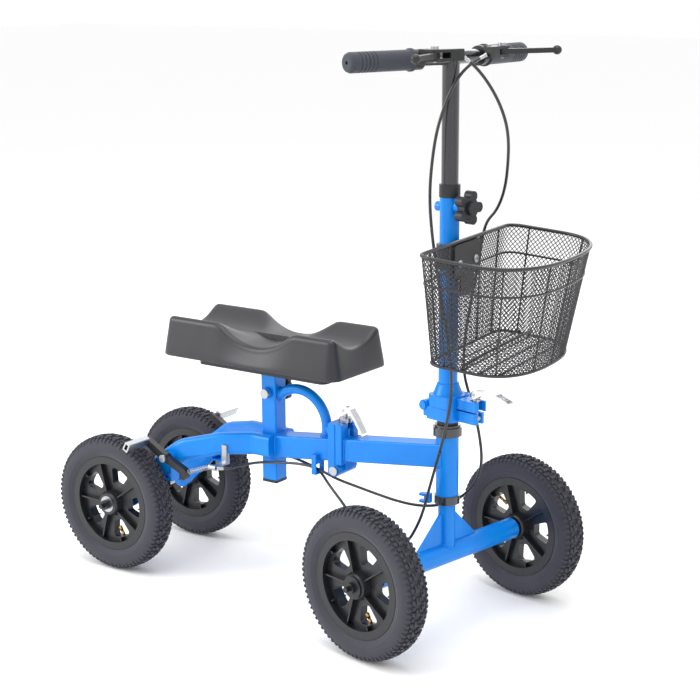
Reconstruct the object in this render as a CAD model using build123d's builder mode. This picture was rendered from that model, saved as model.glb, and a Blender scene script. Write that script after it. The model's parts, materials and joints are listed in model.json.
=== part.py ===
# Folding knee scooter with four wheels, a steered front axle, hand brakes and a front basket.
# Axes: +X is the direction of travel, +Y is the rider's left, +Z is up. Everything is in mm.
from build123d import *
import math
import os

os.makedirs("parts", exist_ok=True)

# ---------------------------------------------------------------- overall layout
REAR_AXLE_X = -371.22          # puts the origin at the middle of the footprint
MID_Y = 0.0
WHEELBASE = 648.6             # rear axle to steering axis
STEER_REST = -10.1            # degrees the fork stands turned to the right
AXLE_Z = 127.0                # wheel centre height

# ---------------------------------------------------------------- clearances
PRESS = 0.02                  # pieces pushed together
RUN = 0.05                    # radial room round a turning pin
SLIDE = 0.25                  # side room of a telescoping tube
GAP = 0.3                     # room between faces of different moving groups

# ---------------------------------------------------------------- wheels
TYRE_R = 127.0
TYRE_W = 51.7
RIM_EDGE_R = 88.4             # where the tyre comes out of the rim
RIM_SEAT_R = 82.0
RIM_W = 38.0
RIM_FLANGE = 3.0
RIM_BARREL_R = 75.0           # inside of the rim barrel
RIM_WEB = 15.0                # spoke thickness along the axle
SPOKES = 5
WINDOW_IN = 35.0              # rounded windows between the spokes
WINDOW_OUT = 64.0
WINDOW_NARROW = 9.5
WINDOW_WIDE = 21.0
WINDOW_CORNER = 5.5
FIN_T = 2.6                   # stiffening fins on both faces
HUB_R = 24.0
HUB_W = 48.0
BEARING_R = 15.0
REAR_TRACK = 227.6            # between the rear wheel centres
FRONT_TRACK = 397.2

# ---------------------------------------------------------------- axles
AXLE_PIN_R = 6.0
REAR_PIN_IN = 62.0            # inner end of a rear axle bolt, from the middle
AXLE_HEAD_R = 9.0
AXLE_HEAD_T = 6.0
CAP_R = 15.5
CAP_T = 2.5
FRONT_TUBE_R = 18.5           # cross axle tube
FRONT_TUBE_WALL = 3.0
FRONT_TUBE_END = 170.0

# ---------------------------------------------------------------- frame tubes
POST_X = 285.0                # seat post, ahead of the rear axle
POST_W = 32.0
POST_WALL = 2.5
POST_BOTTOM = 194.0
POST_TOP = 398.0
MAIN_W = 40.0                 # square main tube
MAIN_WALL = 2.5
MAIN_Z = 258.7                # its centre height at MAIN_REF
MAIN_REF = 300.0
MAIN_SLOPE = 6.83             # degrees it climbs toward the head tube
ARM_TALL = 40.0
ARM_WIDE = 22.0
ARM_WALL = 2.5
ARM_Y = 72.0                  # rear arms beside the wheels
DROPOUT_T = 8.0
ARC_R = 61.0
ARC_TUBE_R = 9.0
ARC_X = 341.0
ARC_Z = 305.0

# ---------------------------------------------------------------- main fold
HINGE_X = 436.0               # fold pin
HINGE_Z = 240.0
HINGE_PIN_R = 5.0
SPLIT_X = 437.0               # face where the two halves meet
HINGE_BACK = 421.0
HINGE_FRONT = 451.0
HINGE_BOTTOM = 228.0
HINGE_TOP = 323.0
HINGE_WIDE = 52.0

# ---------------------------------------------------------------- head tube and steering
HEAD_R = 19.0
HEAD_BOTTOM = 230.0
HEAD_TOP = 334.0
STEERER_R = 14.6
STEERER_WALL = 3.0
CROWN_Z = 216.0
CUP_R = 24.5
SPACER_R = 17.5

# ---------------------------------------------------------------- column
COLLAR_BOTTOM = 363.0
COLLAR_SPLIT = 384.3
COLLAR_TOP = 405.0
CONE_TOP = 421.0
COLUMN_R = 16.0
COLUMN_TOP = 730.0
SLEEVE_R = 17.2
SLEEVE_TOP = 750.5
STEM_R = 14.0
STEM_BOTTOM = 545.0
STEM_TOP = 950.0
FOLD_PIN_X = -30.0            # column fold pin, behind the column
FOLD_PIN_R = 4.0

# ---------------------------------------------------------------- handlebar
BAR_R = 11.1
BAR_WALL = 2.2
BAR_STRAIGHT = 45.0
BAR_SWEEP = 9.25              # degrees swept back
BAR_END = 207.6
GRIP_START = 85.6
GRIP_R = 16.0

# ---------------------------------------------------------------- basket
BASKET_YAW = 6.0
BASKET_BACK = 26.0            # back wall ahead of the column axis
RIM_HALF = 180.0
RIM_DEPTH = 191.0
RIM_Z = 664.0
BASKET_H = 178.0
FLOOR_HALF = 143.0
FLOOR_DEPTH = 158.0
BASKET_WALL = 4.0

# ---------------------------------------------------------------- seat
PAD_BACK = 92.0
PAD_FRONT = 478.0
PAD_HALF = 82.0
PAD_BOTTOM = 412.3
PAD_TOP = 480.0
BOARD_BACK = 161.0
BOARD_FRONT = 440.0
BOARD_HALF = 60.0
BOARD_T = 12.0
INNER_POST_W = 26.5

# ---------------------------------------------------------------- rear brakes
BRAKE_Y = 95.0
BRAKE_PIVOT = (110.0, 225.0)
BRAKE_TOP = (66.0, 250.0)
BRAKE_LOW = (154.0, 206.0)
BRAKE_STOP_X = 214.0
BRAKE_STOP_Z = 222.0
SCRAPER_OUT = 155.0

# ---------------------------------------------------------------- cables
CABLE_R = 2.5

FRAME = Plane(origin=(REAR_AXLE_X, MID_Y, 0), x_dir=(1, 0, 0), z_dir=(0, 0, 1))


def turned(base, x, y, z, degrees):
    """Datum at a point of another datum, turned about the vertical."""
    here = base.from_local_coords((x, y, z))
    angle = math.radians(degrees)
    heading = base.x_dir * math.cos(angle) + base.y_dir * math.sin(angle)
    return Plane(origin=here, x_dir=heading, z_dir=base.z_dir)


FORK = turned(FRAME, WHEELBASE, 0, 0, STEER_REST)
BASKET = turned(FRAME, WHEELBASE, 0, 0, BASKET_YAW)


def level(base, x, y, z):
    """Horizontal sketch plane: sketch x forward, sketch y to the left."""
    return Plane(origin=base.from_local_coords((x, y, z)), x_dir=base.x_dir, z_dir=base.z_dir)


def side(base, x, y, z):
    """Upright sketch plane facing right: sketch x forward, sketch y up."""
    return Plane(origin=base.from_local_coords((x, y, z)), x_dir=base.x_dir, z_dir=base.y_dir * -1)


def front(base, x, y, z):
    """Upright sketch plane facing forward: sketch x to the left, sketch y up."""
    return Plane(origin=base.from_local_coords((x, y, z)), x_dir=base.y_dir, z_dir=base.x_dir)


def rod(plane, radius, start, end, mode=Mode.ADD):
    """Round bar along a plane's normal, from one height above it to another."""
    with BuildSketch(plane.offset(start)) as section:
        Circle(radius)
    extrude(section.sketch, amount=end - start, mode=mode)


def ring(plane, outer, inner, start, end, mode=Mode.ADD):
    """Round ring along a plane's normal."""
    with BuildSketch(plane.offset(start)) as section:
        Circle(outer)
        Circle(inner, mode=Mode.SUBTRACT)
    extrude(section.sketch, amount=end - start, mode=mode)


def slab(plane, wide, tall, corner, start, end, mode=Mode.ADD):
    """Rounded rectangular block along a plane's normal."""
    with BuildSketch(plane.offset(start)) as section:
        RectangleRounded(wide, tall, corner)
    extrude(section.sketch, amount=end - start, mode=mode)


def plate(plane, outline, thick, mode=Mode.ADD):
    """Flat plate of a closed outline, centred on its plane."""
    with BuildSketch(plane) as section:
        with BuildLine():
            Polyline(outline, close=True)
        make_face()
    extrude(section.sketch, amount=thick / 2, both=True, mode=mode)


def turned_shape(plane, profile, mode=Mode.ADD):
    """Solid of revolution about a plane's normal; the profile is (radius, height) points."""
    half = Plane(origin=plane.origin, x_dir=plane.x_dir, z_dir=plane.y_dir * -1)
    with BuildSketch(half) as section:
        with BuildLine():
            Polyline(profile, close=True)
        make_face()
    revolve(section.sketch, axis=Axis(plane.origin, plane.z_dir), mode=mode)


def save(builder, name):
    """Name a finished piece and write it out."""
    builder.part.label = name
    export_step(builder.part, f"parts/{name}.step")


# ================================================================ wheels
def hub_plane(base, y, out):
    """Plane through a wheel centre, facing outward along the axle."""
    centre = base.from_local_coords((0, y, AXLE_Z))
    return Plane(origin=centre, x_dir=base.x_dir, z_dir=base.y_dir * out)


def make_tyre(name, hub):
    """Tyre ring that sits between the rim flanges."""
    half = Plane(origin=hub.origin, x_dir=hub.x_dir, z_dir=hub.y_dir * -1)
    bead = RIM_W / 2 - RIM_FLANGE - PRESS
    seat = RIM_SEAT_R + PRESS
    edge = RIM_EDGE_R + PRESS
    lip = bead + 2.2
    wide = TYRE_W / 2
    shoulder = (TYRE_R - 7.0, wide - 4.0)
    with BuildPart() as tyre:
        with BuildSketch(half):
            with BuildLine():
                Polyline((edge, lip), (edge, bead), (seat, bead), (seat, -bead), (edge, -bead), (edge, -lip))
                ThreePointArc((edge, -lip), (edge + 15.0, -wide), (shoulder[0], -shoulder[1]))
                ThreePointArc((shoulder[0], -shoulder[1]), (TYRE_R, 0), shoulder)
                ThreePointArc(shoulder, (edge + 15.0, wide), (edge, lip))
            make_face()
        revolve(axis=Axis(hub.origin, hub.z_dir))
    save(tyre, name)


def make_rim(name, hub):
    """One-piece plastic rim with five spokes and a ribbed hub."""
    rim_half = RIM_W / 2
    pitch = 360 / SPOKES
    with BuildSketch(hub.offset(-RIM_WEB / 2)) as web:
        Circle(RIM_BARREL_R + 1)
        with BuildSketch(mode=Mode.PRIVATE) as window:
            Polygon(
                (WINDOW_IN, -WINDOW_NARROW),
                (WINDOW_OUT, -WINDOW_WIDE),
                (WINDOW_OUT + 3, 0),
                (WINDOW_OUT, WINDOW_WIDE),
                (WINDOW_IN, WINDOW_NARROW),
                align=None,
            )
            fillet(window.vertices(), WINDOW_CORNER)
        with PolarLocations(0, SPOKES):
            add(window.sketch, mode=Mode.SUBTRACT)
    with BuildPart() as rim:
        ring(hub, RIM_SEAT_R, RIM_BARREL_R, -rim_half, rim_half)
        ring(hub, RIM_EDGE_R, RIM_SEAT_R - 1, rim_half - RIM_FLANGE, rim_half)
        ring(hub, RIM_EDGE_R, RIM_SEAT_R - 1, -rim_half, RIM_FLANGE - rim_half)
        extrude(web.sketch, amount=RIM_WEB)
        turned_shape(
            hub,
            [
                (0.0, -HUB_W / 2),
                (HUB_R - 4, -HUB_W / 2),
                (HUB_R - 2, -HUB_W / 2 + 3),
                (HUB_R + 2, -RIM_WEB / 2),
                (HUB_R + 2, RIM_WEB / 2),
                (HUB_R - 2, HUB_W / 2 - 3),
                (HUB_R - 4, HUB_W / 2),
                (0.0, HUB_W / 2),
            ],
        )
        for index in range(2 * SPOKES):
            direction = hub.x_dir.rotate(Axis((0, 0, 0), hub.z_dir), index * pitch / 2)
            rib = Plane(origin=hub.origin, x_dir=direction, z_dir=hub.z_dir.cross(direction))
            start = HUB_R - 4 if index % 2 else WINDOW_OUT + 4
            height = HUB_W / 2 - 6 if index % 2 else rim_half - 4
            plate(
                rib,
                [
                    (start, -height),
                    (RIM_BARREL_R + 1, 4 - rim_half),
                    (RIM_BARREL_R + 1, rim_half - 4),
                    (start, height),
                ],
                FIN_T,
            )
        rod(hub, BEARING_R + RUN, -HUB_W, HUB_W, mode=Mode.SUBTRACT)
    save(rim, name)


REAR_RIGHT = hub_plane(FRAME, -REAR_TRACK / 2, -1)
REAR_LEFT = hub_plane(FRAME, REAR_TRACK / 2, 1)
FRONT_RIGHT = hub_plane(FORK, -FRONT_TRACK / 2, -1)
FRONT_LEFT = hub_plane(FORK, FRONT_TRACK / 2, 1)

WHEELS = {
    "rear_right": REAR_RIGHT,
    "rear_left": REAR_LEFT,
    "front_right": FRONT_RIGHT,
    "front_left": FRONT_LEFT,
}
for wheel_name, wheel_hub in WHEELS.items():
    make_tyre(f"{wheel_name}_tyre", wheel_hub)
    make_rim(f"{wheel_name}_rim", wheel_hub)

BEARING_W = HUB_W + 2 * GAP


def make_bearings(name, hubs):
    """Steel bearing sleeves, one on each axle bolt."""
    with BuildPart() as bearings:
        for hub in hubs:
            ring(hub, BEARING_R, AXLE_PIN_R + PRESS, -BEARING_W / 2, BEARING_W / 2)
    save(bearings, name)


make_bearings("rear_bearings", [REAR_RIGHT, REAR_LEFT])

BEARING_FACE = BEARING_W / 2 + PRESS
REAR_REACH = REAR_TRACK / 2


def make_axles(name, hubs, inner, collar_from, sleeve_r):
    """Axle bolts with a spacer inside the wheel and a head outside it."""
    with BuildPart() as axles:
        for hub in hubs:
            rod(hub, AXLE_PIN_R, -inner, BEARING_FACE + CAP_T + 1)
            rod(hub, sleeve_r, -BEARING_W / 2, BEARING_W / 2)
            ring(hub, BEARING_R - 3, AXLE_PIN_R - 1, -collar_from, -BEARING_FACE)
            rod(hub, AXLE_HEAD_R, BEARING_FACE + CAP_T + PRESS, BEARING_FACE + CAP_T + AXLE_HEAD_T)
            rod(hub, AXLE_HEAD_R / 2, BEARING_FACE + CAP_T + AXLE_HEAD_T - 1, BEARING_FACE + CAP_T + AXLE_HEAD_T + 9)
            rod(hub, AXLE_PIN_R + 2, BEARING_FACE, BEARING_FACE + CAP_T + 1)
    save(axles, name)


def make_caps(name, hubs):
    """Dished dust caps held under the axle heads."""
    with BuildPart() as caps:
        for hub in hubs:
            ring(hub, CAP_R + 3, AXLE_PIN_R + 2 + PRESS, BEARING_FACE, BEARING_FACE + CAP_T)
    save(caps, name)


DROPOUT_FACE = ARM_Y + DROPOUT_T / 2
make_axles("rear_axles", [REAR_RIGHT, REAR_LEFT], REAR_REACH - REAR_PIN_IN, REAR_REACH - DROPOUT_FACE - PRESS, AXLE_PIN_R)
make_axles("front_axles", [FRONT_RIGHT, FRONT_LEFT], FRONT_TRACK / 2 - 140, FRONT_TRACK / 2 - FRONT_TUBE_END - PRESS, BEARING_R)
make_caps("hub_caps", [FRONT_RIGHT, FRONT_LEFT])

# ================================================================ rear frame
# The outer seat post is a square tube that carries everything else of the rear frame.
CLAMP_Z = 355.0               # height of the seat clamp bolt
CLAMP_R = 5.0
with BuildPart() as post:
    slab(level(FRAME, POST_X, 0, 0), POST_W, POST_W, 3, POST_BOTTOM, POST_TOP)
    slab(level(FRAME, POST_X, 0, 0), POST_W - 2 * POST_WALL, POST_W - 2 * POST_WALL, 1, 0, POST_TOP + 1, mode=Mode.SUBTRACT)
    for way in (-1, 1):
        boss = side(FRAME, POST_X, way * (POST_W / 2), CLAMP_Z)
        rod(boss, 10, min(0, -way * 6), max(0, -way * 6))
    rod(side(FRAME, POST_X, 0, CLAMP_Z), CLAMP_R + RUN, -60, 60, mode=Mode.SUBTRACT)
save(post, "seat_post_outer")

with BuildPart() as post_cap:
    slab(level(FRAME, POST_X, 0, 0), POST_W + 1, POST_W + 1, 3, POST_BOTTOM - 5, POST_BOTTOM - PRESS)
    slab(level(FRAME, POST_X, 0, 0), POST_W - 2 * POST_WALL - 0.1, POST_W - 2 * POST_WALL - 0.1, 1, POST_BOTTOM - 1, POST_BOTTOM + 14)
save(post_cap, "post_cap")

MAIN_LINE = Plane(
    origin=FRAME.from_local_coords((MAIN_REF, 0, MAIN_Z)),
    x_dir=(math.cos(math.radians(MAIN_SLOPE)), 0, math.sin(math.radians(MAIN_SLOPE))),
    z_dir=(0, -1, 0),
)
MAIN_SECTION = Plane(origin=MAIN_LINE.origin, x_dir=(0, 1, 0), z_dir=MAIN_LINE.x_dir)


def main_tube(start, end):
    """Length of the square main tube between two upright faces."""
    slab(MAIN_SECTION, MAIN_W, MAIN_W, 3, -60, 380)
    slab(MAIN_SECTION, MAIN_W - 2 * MAIN_WALL, MAIN_W - 2 * MAIN_WALL, 1, -61, 381, mode=Mode.SUBTRACT)
    slab(front(FRAME, 0, 0, MAIN_Z), 200, 300, 1, 0, start, mode=Mode.SUBTRACT)
    slab(front(FRAME, 0, 0, MAIN_Z), 200, 300, 1, end, 1000, mode=Mode.SUBTRACT)


with BuildPart() as rear_tube:
    main_tube(POST_X + POST_W / 2 + PRESS, HINGE_BACK - PRESS)
save(rear_tube, "main_tube_rear")

# The brace bends from the front of the post down onto the main tube.
brace_line = []
for angle in (138, 60, -18):
    turn = math.radians(angle)
    reach_x = ARC_X + ARC_R * math.cos(turn)
    reach_z = ARC_Z + ARC_R * math.sin(turn)
    brace_line.append(FRAME.from_local_coords((reach_x, 0, reach_z)))
with BuildPart() as arc_tube:
    with BuildLine() as brace_path:
        ThreePointArc(*brace_line)
    with BuildSketch(Plane(origin=brace_path.line @ 0, z_dir=brace_path.line % 0)) as brace_section:
        Circle(ARC_TUBE_R)
    sweep(brace_section.sketch, path=brace_path.line)
    slab(front(FRAME, 0, 0, ARC_Z), 100, 300, 1, 200, POST_X + POST_W / 2 + PRESS, mode=Mode.SUBTRACT)
    slab(MAIN_SECTION, MAIN_W + 2 * PRESS, MAIN_W + 2 * PRESS, 3, -60, 300, mode=Mode.SUBTRACT)
save(arc_tube, "arc_brace")


def at(base, *points):
    """Points of a datum as points in space."""
    return [base.from_local_coords(point) for point in points]


def bent_bar(points, section_radius, bend, hollow=0.0):
    """Round bar along straight runs joined by tangent bends of one radius."""
    with BuildLine() as route:
        FilletPolyline(*points, radius=bend)
    start = Plane(origin=route.line @ 0, z_dir=route.line % 0)
    with BuildSketch(start) as section:
        Circle(section_radius)
        if hollow:
            Circle(hollow, mode=Mode.SUBTRACT)
    sweep(section.sketch, path=route.line)


ARM_BEND = 45.0
DROPOUT_R = 21.0
PIVOT_R = 4.0
BOSS_R = 8.0
BRAKE_HALF = 6.0


def arm_bar(way, first_x, last, wide, tall, corner, mode=Mode.ADD):
    """Flattened bar along an arm's line, from beside the post back to its last point."""
    beside = POST_W / 2 + ARM_WIDE / 2 + PRESS
    points = at(
        FRAME,
        (first_x, way * beside, 261),
        (262, way * beside, 261),
        (200, way * 47, 255),
        (130, way * 68, 237),
        (90, way * ARM_Y, 208),
        (last[0], way * ARM_Y, last[1]),
    )
    with BuildLine() as route:
        FilletPolyline(*points, radius=ARM_BEND)
    start = Plane(origin=route.line @ 0, x_dir=(0, 1, 0), z_dir=route.line % 0)
    with BuildSketch(start) as section:
        RectangleRounded(wide, tall, corner)
    sweep(section.sketch, path=route.line, mode=mode)


def hollow_arm(way):
    """Take the inside out of one arm, or out of a piece that meets it; the ends stay closed."""
    inner_wide = ARM_WIDE - 2 * ARM_WALL
    inner_tall = ARM_TALL - 2 * ARM_WALL
    arm_bar(way, 301 - ARM_WALL, (69, 188.1), inner_wide, inner_tall, 6.5, mode=Mode.SUBTRACT)


def dropout_plate(way):
    """Flat plate that holds one rear axle."""
    face = side(FRAME, 0, way * ARM_Y, 0)
    with BuildSketch(face) as outline:
        with Locations((0, AXLE_Z)):
            Circle(DROPOUT_R)
        with Locations((56, 175)):
            Circle(ARM_TALL / 2 - 1)
        make_hull()
    extrude(outline.sketch, amount=DROPOUT_T / 2, both=True)


def pivot_boss(way):
    """Boss on the outside of an arm for the brake pivot."""
    face = side(FRAME, BRAKE_PIVOT[0], 0, BRAKE_PIVOT[1])
    inner = ARM_Y - 2
    outer = BRAKE_Y - BRAKE_HALF - GAP
    rod(face, BOSS_R, min(-way * inner, -way * outer), max(-way * inner, -way * outer))


ARM_SIDES = {"right": -1, "left": 1}
with BuildPart() as rear_arms:
    for arm_way in ARM_SIDES.values():
        arm_bar(arm_way, 301, (52, 172), ARM_WIDE, ARM_TALL, 9)
        hollow_arm(arm_way)
        dropout_plate(arm_way)
        pivot_boss(arm_way)
    rod(side(FRAME, 0, 0, AXLE_Z), AXLE_PIN_R + PRESS, -120, 120, mode=Mode.SUBTRACT)
    rod(side(FRAME, BRAKE_PIVOT[0], 0, BRAKE_PIVOT[1]), PIVOT_R + PRESS, -110, 110, mode=Mode.SUBTRACT)
save(rear_arms, "rear_arms")

# Bent steel straps with a square nut sit under the arms.
STRAP_T = 3.0
STRAP_Z = 176.0
CLIP_X = 394.0
CLIP_Z = 240.0
with BuildPart() as straps:
    for way in ARM_SIDES.values():
        slab(level(FRAME, 98, way * ARM_Y, 0), 27, ARM_WIDE, 2, STRAP_Z, 205)
        slab(level(FRAME, 98, way * ARM_Y, 0), 27 - 2 * STRAP_T, ARM_WIDE + 8, 1, STRAP_Z + STRAP_T, 206, mode=Mode.SUBTRACT)
    slab(level(FRAME, CLIP_X, -17, 0), 10, 26, 1, CLIP_Z - 14, 262)
    slab(level(FRAME, CLIP_X, -17, 0), 20, 22, 1, CLIP_Z - 11, CLIP_Z + 5, mode=Mode.SUBTRACT)
    slab(MAIN_SECTION, MAIN_W + 2 * PRESS, MAIN_W + 2 * PRESS, 3, -60, 300, mode=Mode.SUBTRACT)
    add(rear_arms.part, mode=Mode.SUBTRACT)
    for way in ARM_SIDES.values():
        hollow_arm(way)
save(straps, "rear_brackets")

with BuildPart() as strap_nuts:
    for way in ARM_SIDES.values():
        slab(level(FRAME, 98, way * ARM_Y, 0), 13, 13, 1, STRAP_Z - 8, STRAP_Z - PRESS)
        rod(side(FRAME, BRAKE_PIVOT[0], 0, BRAKE_PIVOT[1]), PIVOT_R, min(-way * 62, -way * 104), max(-way * 62, -way * 104))
        head = BRAKE_Y + BRAKE_HALF + GAP
        rod(side(FRAME, BRAKE_PIVOT[0], 0, BRAKE_PIVOT[1]), 7, min(-way * head, -way * (head + 5)), max(-way * head, -way * (head + 5)))
save(strap_nuts, "rear_bolts")

# ---------------------------------------------------------------- brake arms and scrapers
SCRAPER_RADIAL = 17.0
SCRAPER_THICK = 12.0
scraper_tilt = math.degrees(math.atan2(BRAKE_TOP[1] + 1.5 - AXLE_Z, BRAKE_TOP[0] + 3))
for arm_name, arm_way in ARM_SIDES.items():
    arm_face = side(FRAME, 0, arm_way * BRAKE_Y, 0)
    with BuildPart() as brake_arm:
        for start, end in ((BRAKE_TOP, BRAKE_PIVOT), (BRAKE_PIVOT, BRAKE_LOW), (BRAKE_LOW, (154, 198))):
            with BuildSketch(arm_face) as link:
                with Locations(start):
                    Circle(6.5)
                with Locations(end):
                    Circle(6.5)
                make_hull()
            extrude(link.sketch, amount=BRAKE_HALF, both=True)
        rod(side(FRAME, BRAKE_PIVOT[0], arm_way * BRAKE_Y, BRAKE_PIVOT[1]), 9, -BRAKE_HALF, BRAKE_HALF)
        rod(side(FRAME, BRAKE_PIVOT[0], 0, BRAKE_PIVOT[1]), PIVOT_R + RUN, -130, 130, mode=Mode.SUBTRACT)
    save(brake_arm, f"brake_arm_{arm_name}")
    inner = BRAKE_Y + BRAKE_HALF + PRESS
    bar_plane = Plane(
        origin=FRAME.from_local_coords((BRAKE_TOP[0] + 3, arm_way * inner, BRAKE_TOP[1] + 1.5)),
        x_dir=(math.cos(math.radians(scraper_tilt)), 0, math.sin(math.radians(scraper_tilt))),
        z_dir=(0, arm_way, 0),
    )
    with BuildPart() as scraper:
        slab(bar_plane, SCRAPER_RADIAL, SCRAPER_THICK, 2, 0, SCRAPER_OUT - inner)
        slab(bar_plane, SCRAPER_RADIAL - 6, SCRAPER_THICK - 6, 1, 3, SCRAPER_OUT, mode=Mode.SUBTRACT)
    save(scraper, f"scraper_{arm_name}")

# Cable stops: a bent tab from each rear arm holds a barrel for the brake cable.
STOP_R = 5.0
STOP_LEN = 16.0
STOP_Y = 87.5
with BuildPart() as stops:
    for way in ARM_SIDES.values():
        barrel = front(FRAME, BRAKE_STOP_X, way * STOP_Y, BRAKE_STOP_Z)
        rod(barrel, STOP_R, -STOP_LEN / 2, STOP_LEN / 2)
        slab(level(FRAME, BRAKE_STOP_X, way * 68, BRAKE_STOP_Z), 12, 40, 2, -2, 2)
        slab(level(FRAME, BRAKE_STOP_X, way * 52, BRAKE_STOP_Z), 12, 10, 2, -2, 34)
        rod(barrel, 1.2, -STOP_LEN, STOP_LEN, mode=Mode.SUBTRACT)
    add(rear_arms.part, mode=Mode.SUBTRACT)
    for way in ARM_SIDES.values():
        hollow_arm(way)
save(stops, "cable_stops")

# ---------------------------------------------------------------- main fold
KNUCKLE_R = 11.0
KNUCKLE_HALF = 11.7
LATCH_X = 442.0
LATCH_PIN_Z = 306.0
LATCH_EYE_R = 7.0
LATCH_PIN_R = 3.0
BOLT_R = 4.0
LATCH_SLOT = 8.6
LATCH_WASHER_R = 11.5
hinge_face = side(FRAME, HINGE_X, 0, HINGE_Z)

with BuildPart() as hinge_rear:
    middle = (HINGE_BACK + SPLIT_X) / 2
    deep = SPLIT_X - HINGE_BACK
    slab(level(FRAME, middle, 0, 0), deep, HINGE_WIDE, 2, HINGE_BOTTOM + 4, HINGE_TOP)
    rod(hinge_face, KNUCKLE_R, -HINGE_WIDE / 2, HINGE_WIDE / 2)
    rod(hinge_face, 15.6, -KNUCKLE_HALF - GAP, KNUCKLE_HALF + GAP, mode=Mode.SUBTRACT)
    rod(side(FRAME, HINGE_BACK + 1, 0, 310), 6, -HINGE_WIDE / 2 + 3, HINGE_WIDE / 2 - 3)
    for way in (-1, 1):
        slab(level(FRAME, 442, way * 7.2, 0), 26, 4, 0.5, 298, 314)
    rod(side(FRAME, LATCH_X, 0, LATCH_PIN_Z), LATCH_PIN_R + PRESS, -15, 15, mode=Mode.SUBTRACT)
    slab(level(FRAME, 441, 0, 0), 26, 10.4, 0.5, 292, 330, mode=Mode.SUBTRACT)
    rod(hinge_face, HINGE_PIN_R + PRESS, -40, 40, mode=Mode.SUBTRACT)
save(hinge_rear, "hinge_rear_half")

with BuildPart() as hinge_front:
    low = HINGE_Z + KNUCKLE_R + GAP
    start = SPLIT_X + 0.1
    slab(level(FRAME, (start + HINGE_FRONT) / 2, 0, 0), HINGE_FRONT - start, HINGE_WIDE, 2, low, HINGE_TOP)
    rod(hinge_face, KNUCKLE_R, -KNUCKLE_HALF, KNUCKLE_HALF)
    slab(level(FRAME, (HINGE_X + HINGE_FRONT) / 2, 0, 0), HINGE_FRONT - HINGE_X, 2 * KNUCKLE_HALF, 1, HINGE_Z, low + 2)
    slab(level(FRAME, SPLIT_X + 6, 0, 0), 25.0, 19.4, 0.5, 292, 316, mode=Mode.SUBTRACT)
    slab(level(FRAME, SPLIT_X + 6, 0, 0), 25.0, 2 * LATCH_SLOT, 0.5, 310, 330, mode=Mode.SUBTRACT)
    rod(hinge_face, HINGE_PIN_R + RUN, -40, 40, mode=Mode.SUBTRACT)
save(hinge_front, "hinge_front_half")

with BuildPart() as hinge_pin:
    rod(hinge_face, HINGE_PIN_R, -HINGE_WIDE / 2, HINGE_WIDE / 2)
    for way in (-1, 1):
        rod(hinge_face, 8, way * (HINGE_WIDE / 2 + PRESS), way * (HINGE_WIDE / 2 + 5))
    rod(side(FRAME, LATCH_X, 0, LATCH_PIN_Z), LATCH_PIN_R, -9.2, 9.2)
save(hinge_pin, "hinge_pin")

with BuildPart() as latch_bolt:
    rod(side(FRAME, LATCH_X, 0, LATCH_PIN_Z), LATCH_EYE_R - 1, -4.6, 4.6)
    rod(level(FRAME, LATCH_X, 0, 0), BOLT_R, LATCH_PIN_Z, 344)
    rod(side(FRAME, LATCH_X, 0, LATCH_PIN_Z), LATCH_PIN_R + RUN, -15, 15, mode=Mode.SUBTRACT)
    rod(side(FRAME, LATCH_X, 0, 344), 5, -4.6, 4.6)
    rod(level(FRAME, LATCH_X, 0, 0), LATCH_WASHER_R, HINGE_TOP + GAP, 331)
    rod(side(FRAME, LATCH_X, 0, 344), 2.5, -8.5, 8.5)
save(latch_bolt, "latch_bolt")


def cam_lever(cam_plane, reach, drop, cam_r, half, slot, name, gap_r):
    """Bent clamp lever with a forked cam on its pin; the plane's normal is the pin direction."""
    with BuildPart() as lever:
        rod(cam_plane, cam_r, -half, half)
        with BuildSketch(cam_plane) as blade:
            with BuildLine():
                Polyline(*reach)
                Line(reach[-1], drop[0])
                Polyline(*drop)
                Line(drop[-1], reach[0])
            make_face()
        extrude(blade.sketch, amount=half, both=True)
        with BuildSketch(cam_plane) as throat:
            Circle(gap_r)
        extrude(throat.sketch, amount=slot, both=True, mode=Mode.SUBTRACT)
        rod(cam_plane, 2.5 + RUN, -half, half, mode=Mode.SUBTRACT)
    save(lever, name)


cam_lever(
    side(FRAME, LATCH_X, 0, 344),
    [(0, 7), (14, 4), (26, -12), (40, -36), (43, -38)],
    [(41, -40), (36, -37), (22, -15), (12, -2), (0, -7)],
    7.0,
    8.0,
    5.0,
    "latch_lever",
    9.0,
)
with BuildPart() as front_tube:
    main_tube(HINGE_FRONT + PRESS, WHEELBASE)
    rod(level(FRAME, WHEELBASE, 0, 0), HEAD_R + PRESS, 200, 360, mode=Mode.SUBTRACT)
save(front_tube, "main_tube_front")

# ---------------------------------------------------------------- head tube
CUP_TOP = 353.0
with BuildPart() as head_tube:
    ring(level(FRAME, WHEELBASE, 0, 0), HEAD_R, STEERER_R + 1.5, HEAD_BOTTOM, HEAD_TOP)
save(head_tube, "head_tube")

with BuildPart() as headset:
    ring(level(FRAME, WHEELBASE, 0, 0), CUP_R, STEERER_R + RUN, HEAD_TOP + PRESS, CUP_TOP - 4)
    ring(level(FRAME, WHEELBASE, 0, 0), CUP_R - 3, STEERER_R + RUN, CUP_TOP - 4, CUP_TOP)
    ring(level(FRAME, WHEELBASE, 0, 0), 21.5, STEERER_R + RUN, CROWN_Z + GAP, HEAD_BOTTOM - PRESS)
save(headset, "headset_cups")

with BuildPart() as cable_tabs:
    slab(level(FRAME, 618, -24, 0), 14, 10, 2, 217, 221)
    slab(level(FRAME, 618, -24, 0), 14, 10, 2, 229, 233)
    slab(level(FRAME, 624, -20, 0), 12, 10, 2, 217, 233)
    rod(level(FRAME, WHEELBASE, 0, 0), HEAD_R + PRESS, 200, 250, mode=Mode.SUBTRACT)
save(cable_tabs, "cable_tabs")

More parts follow.
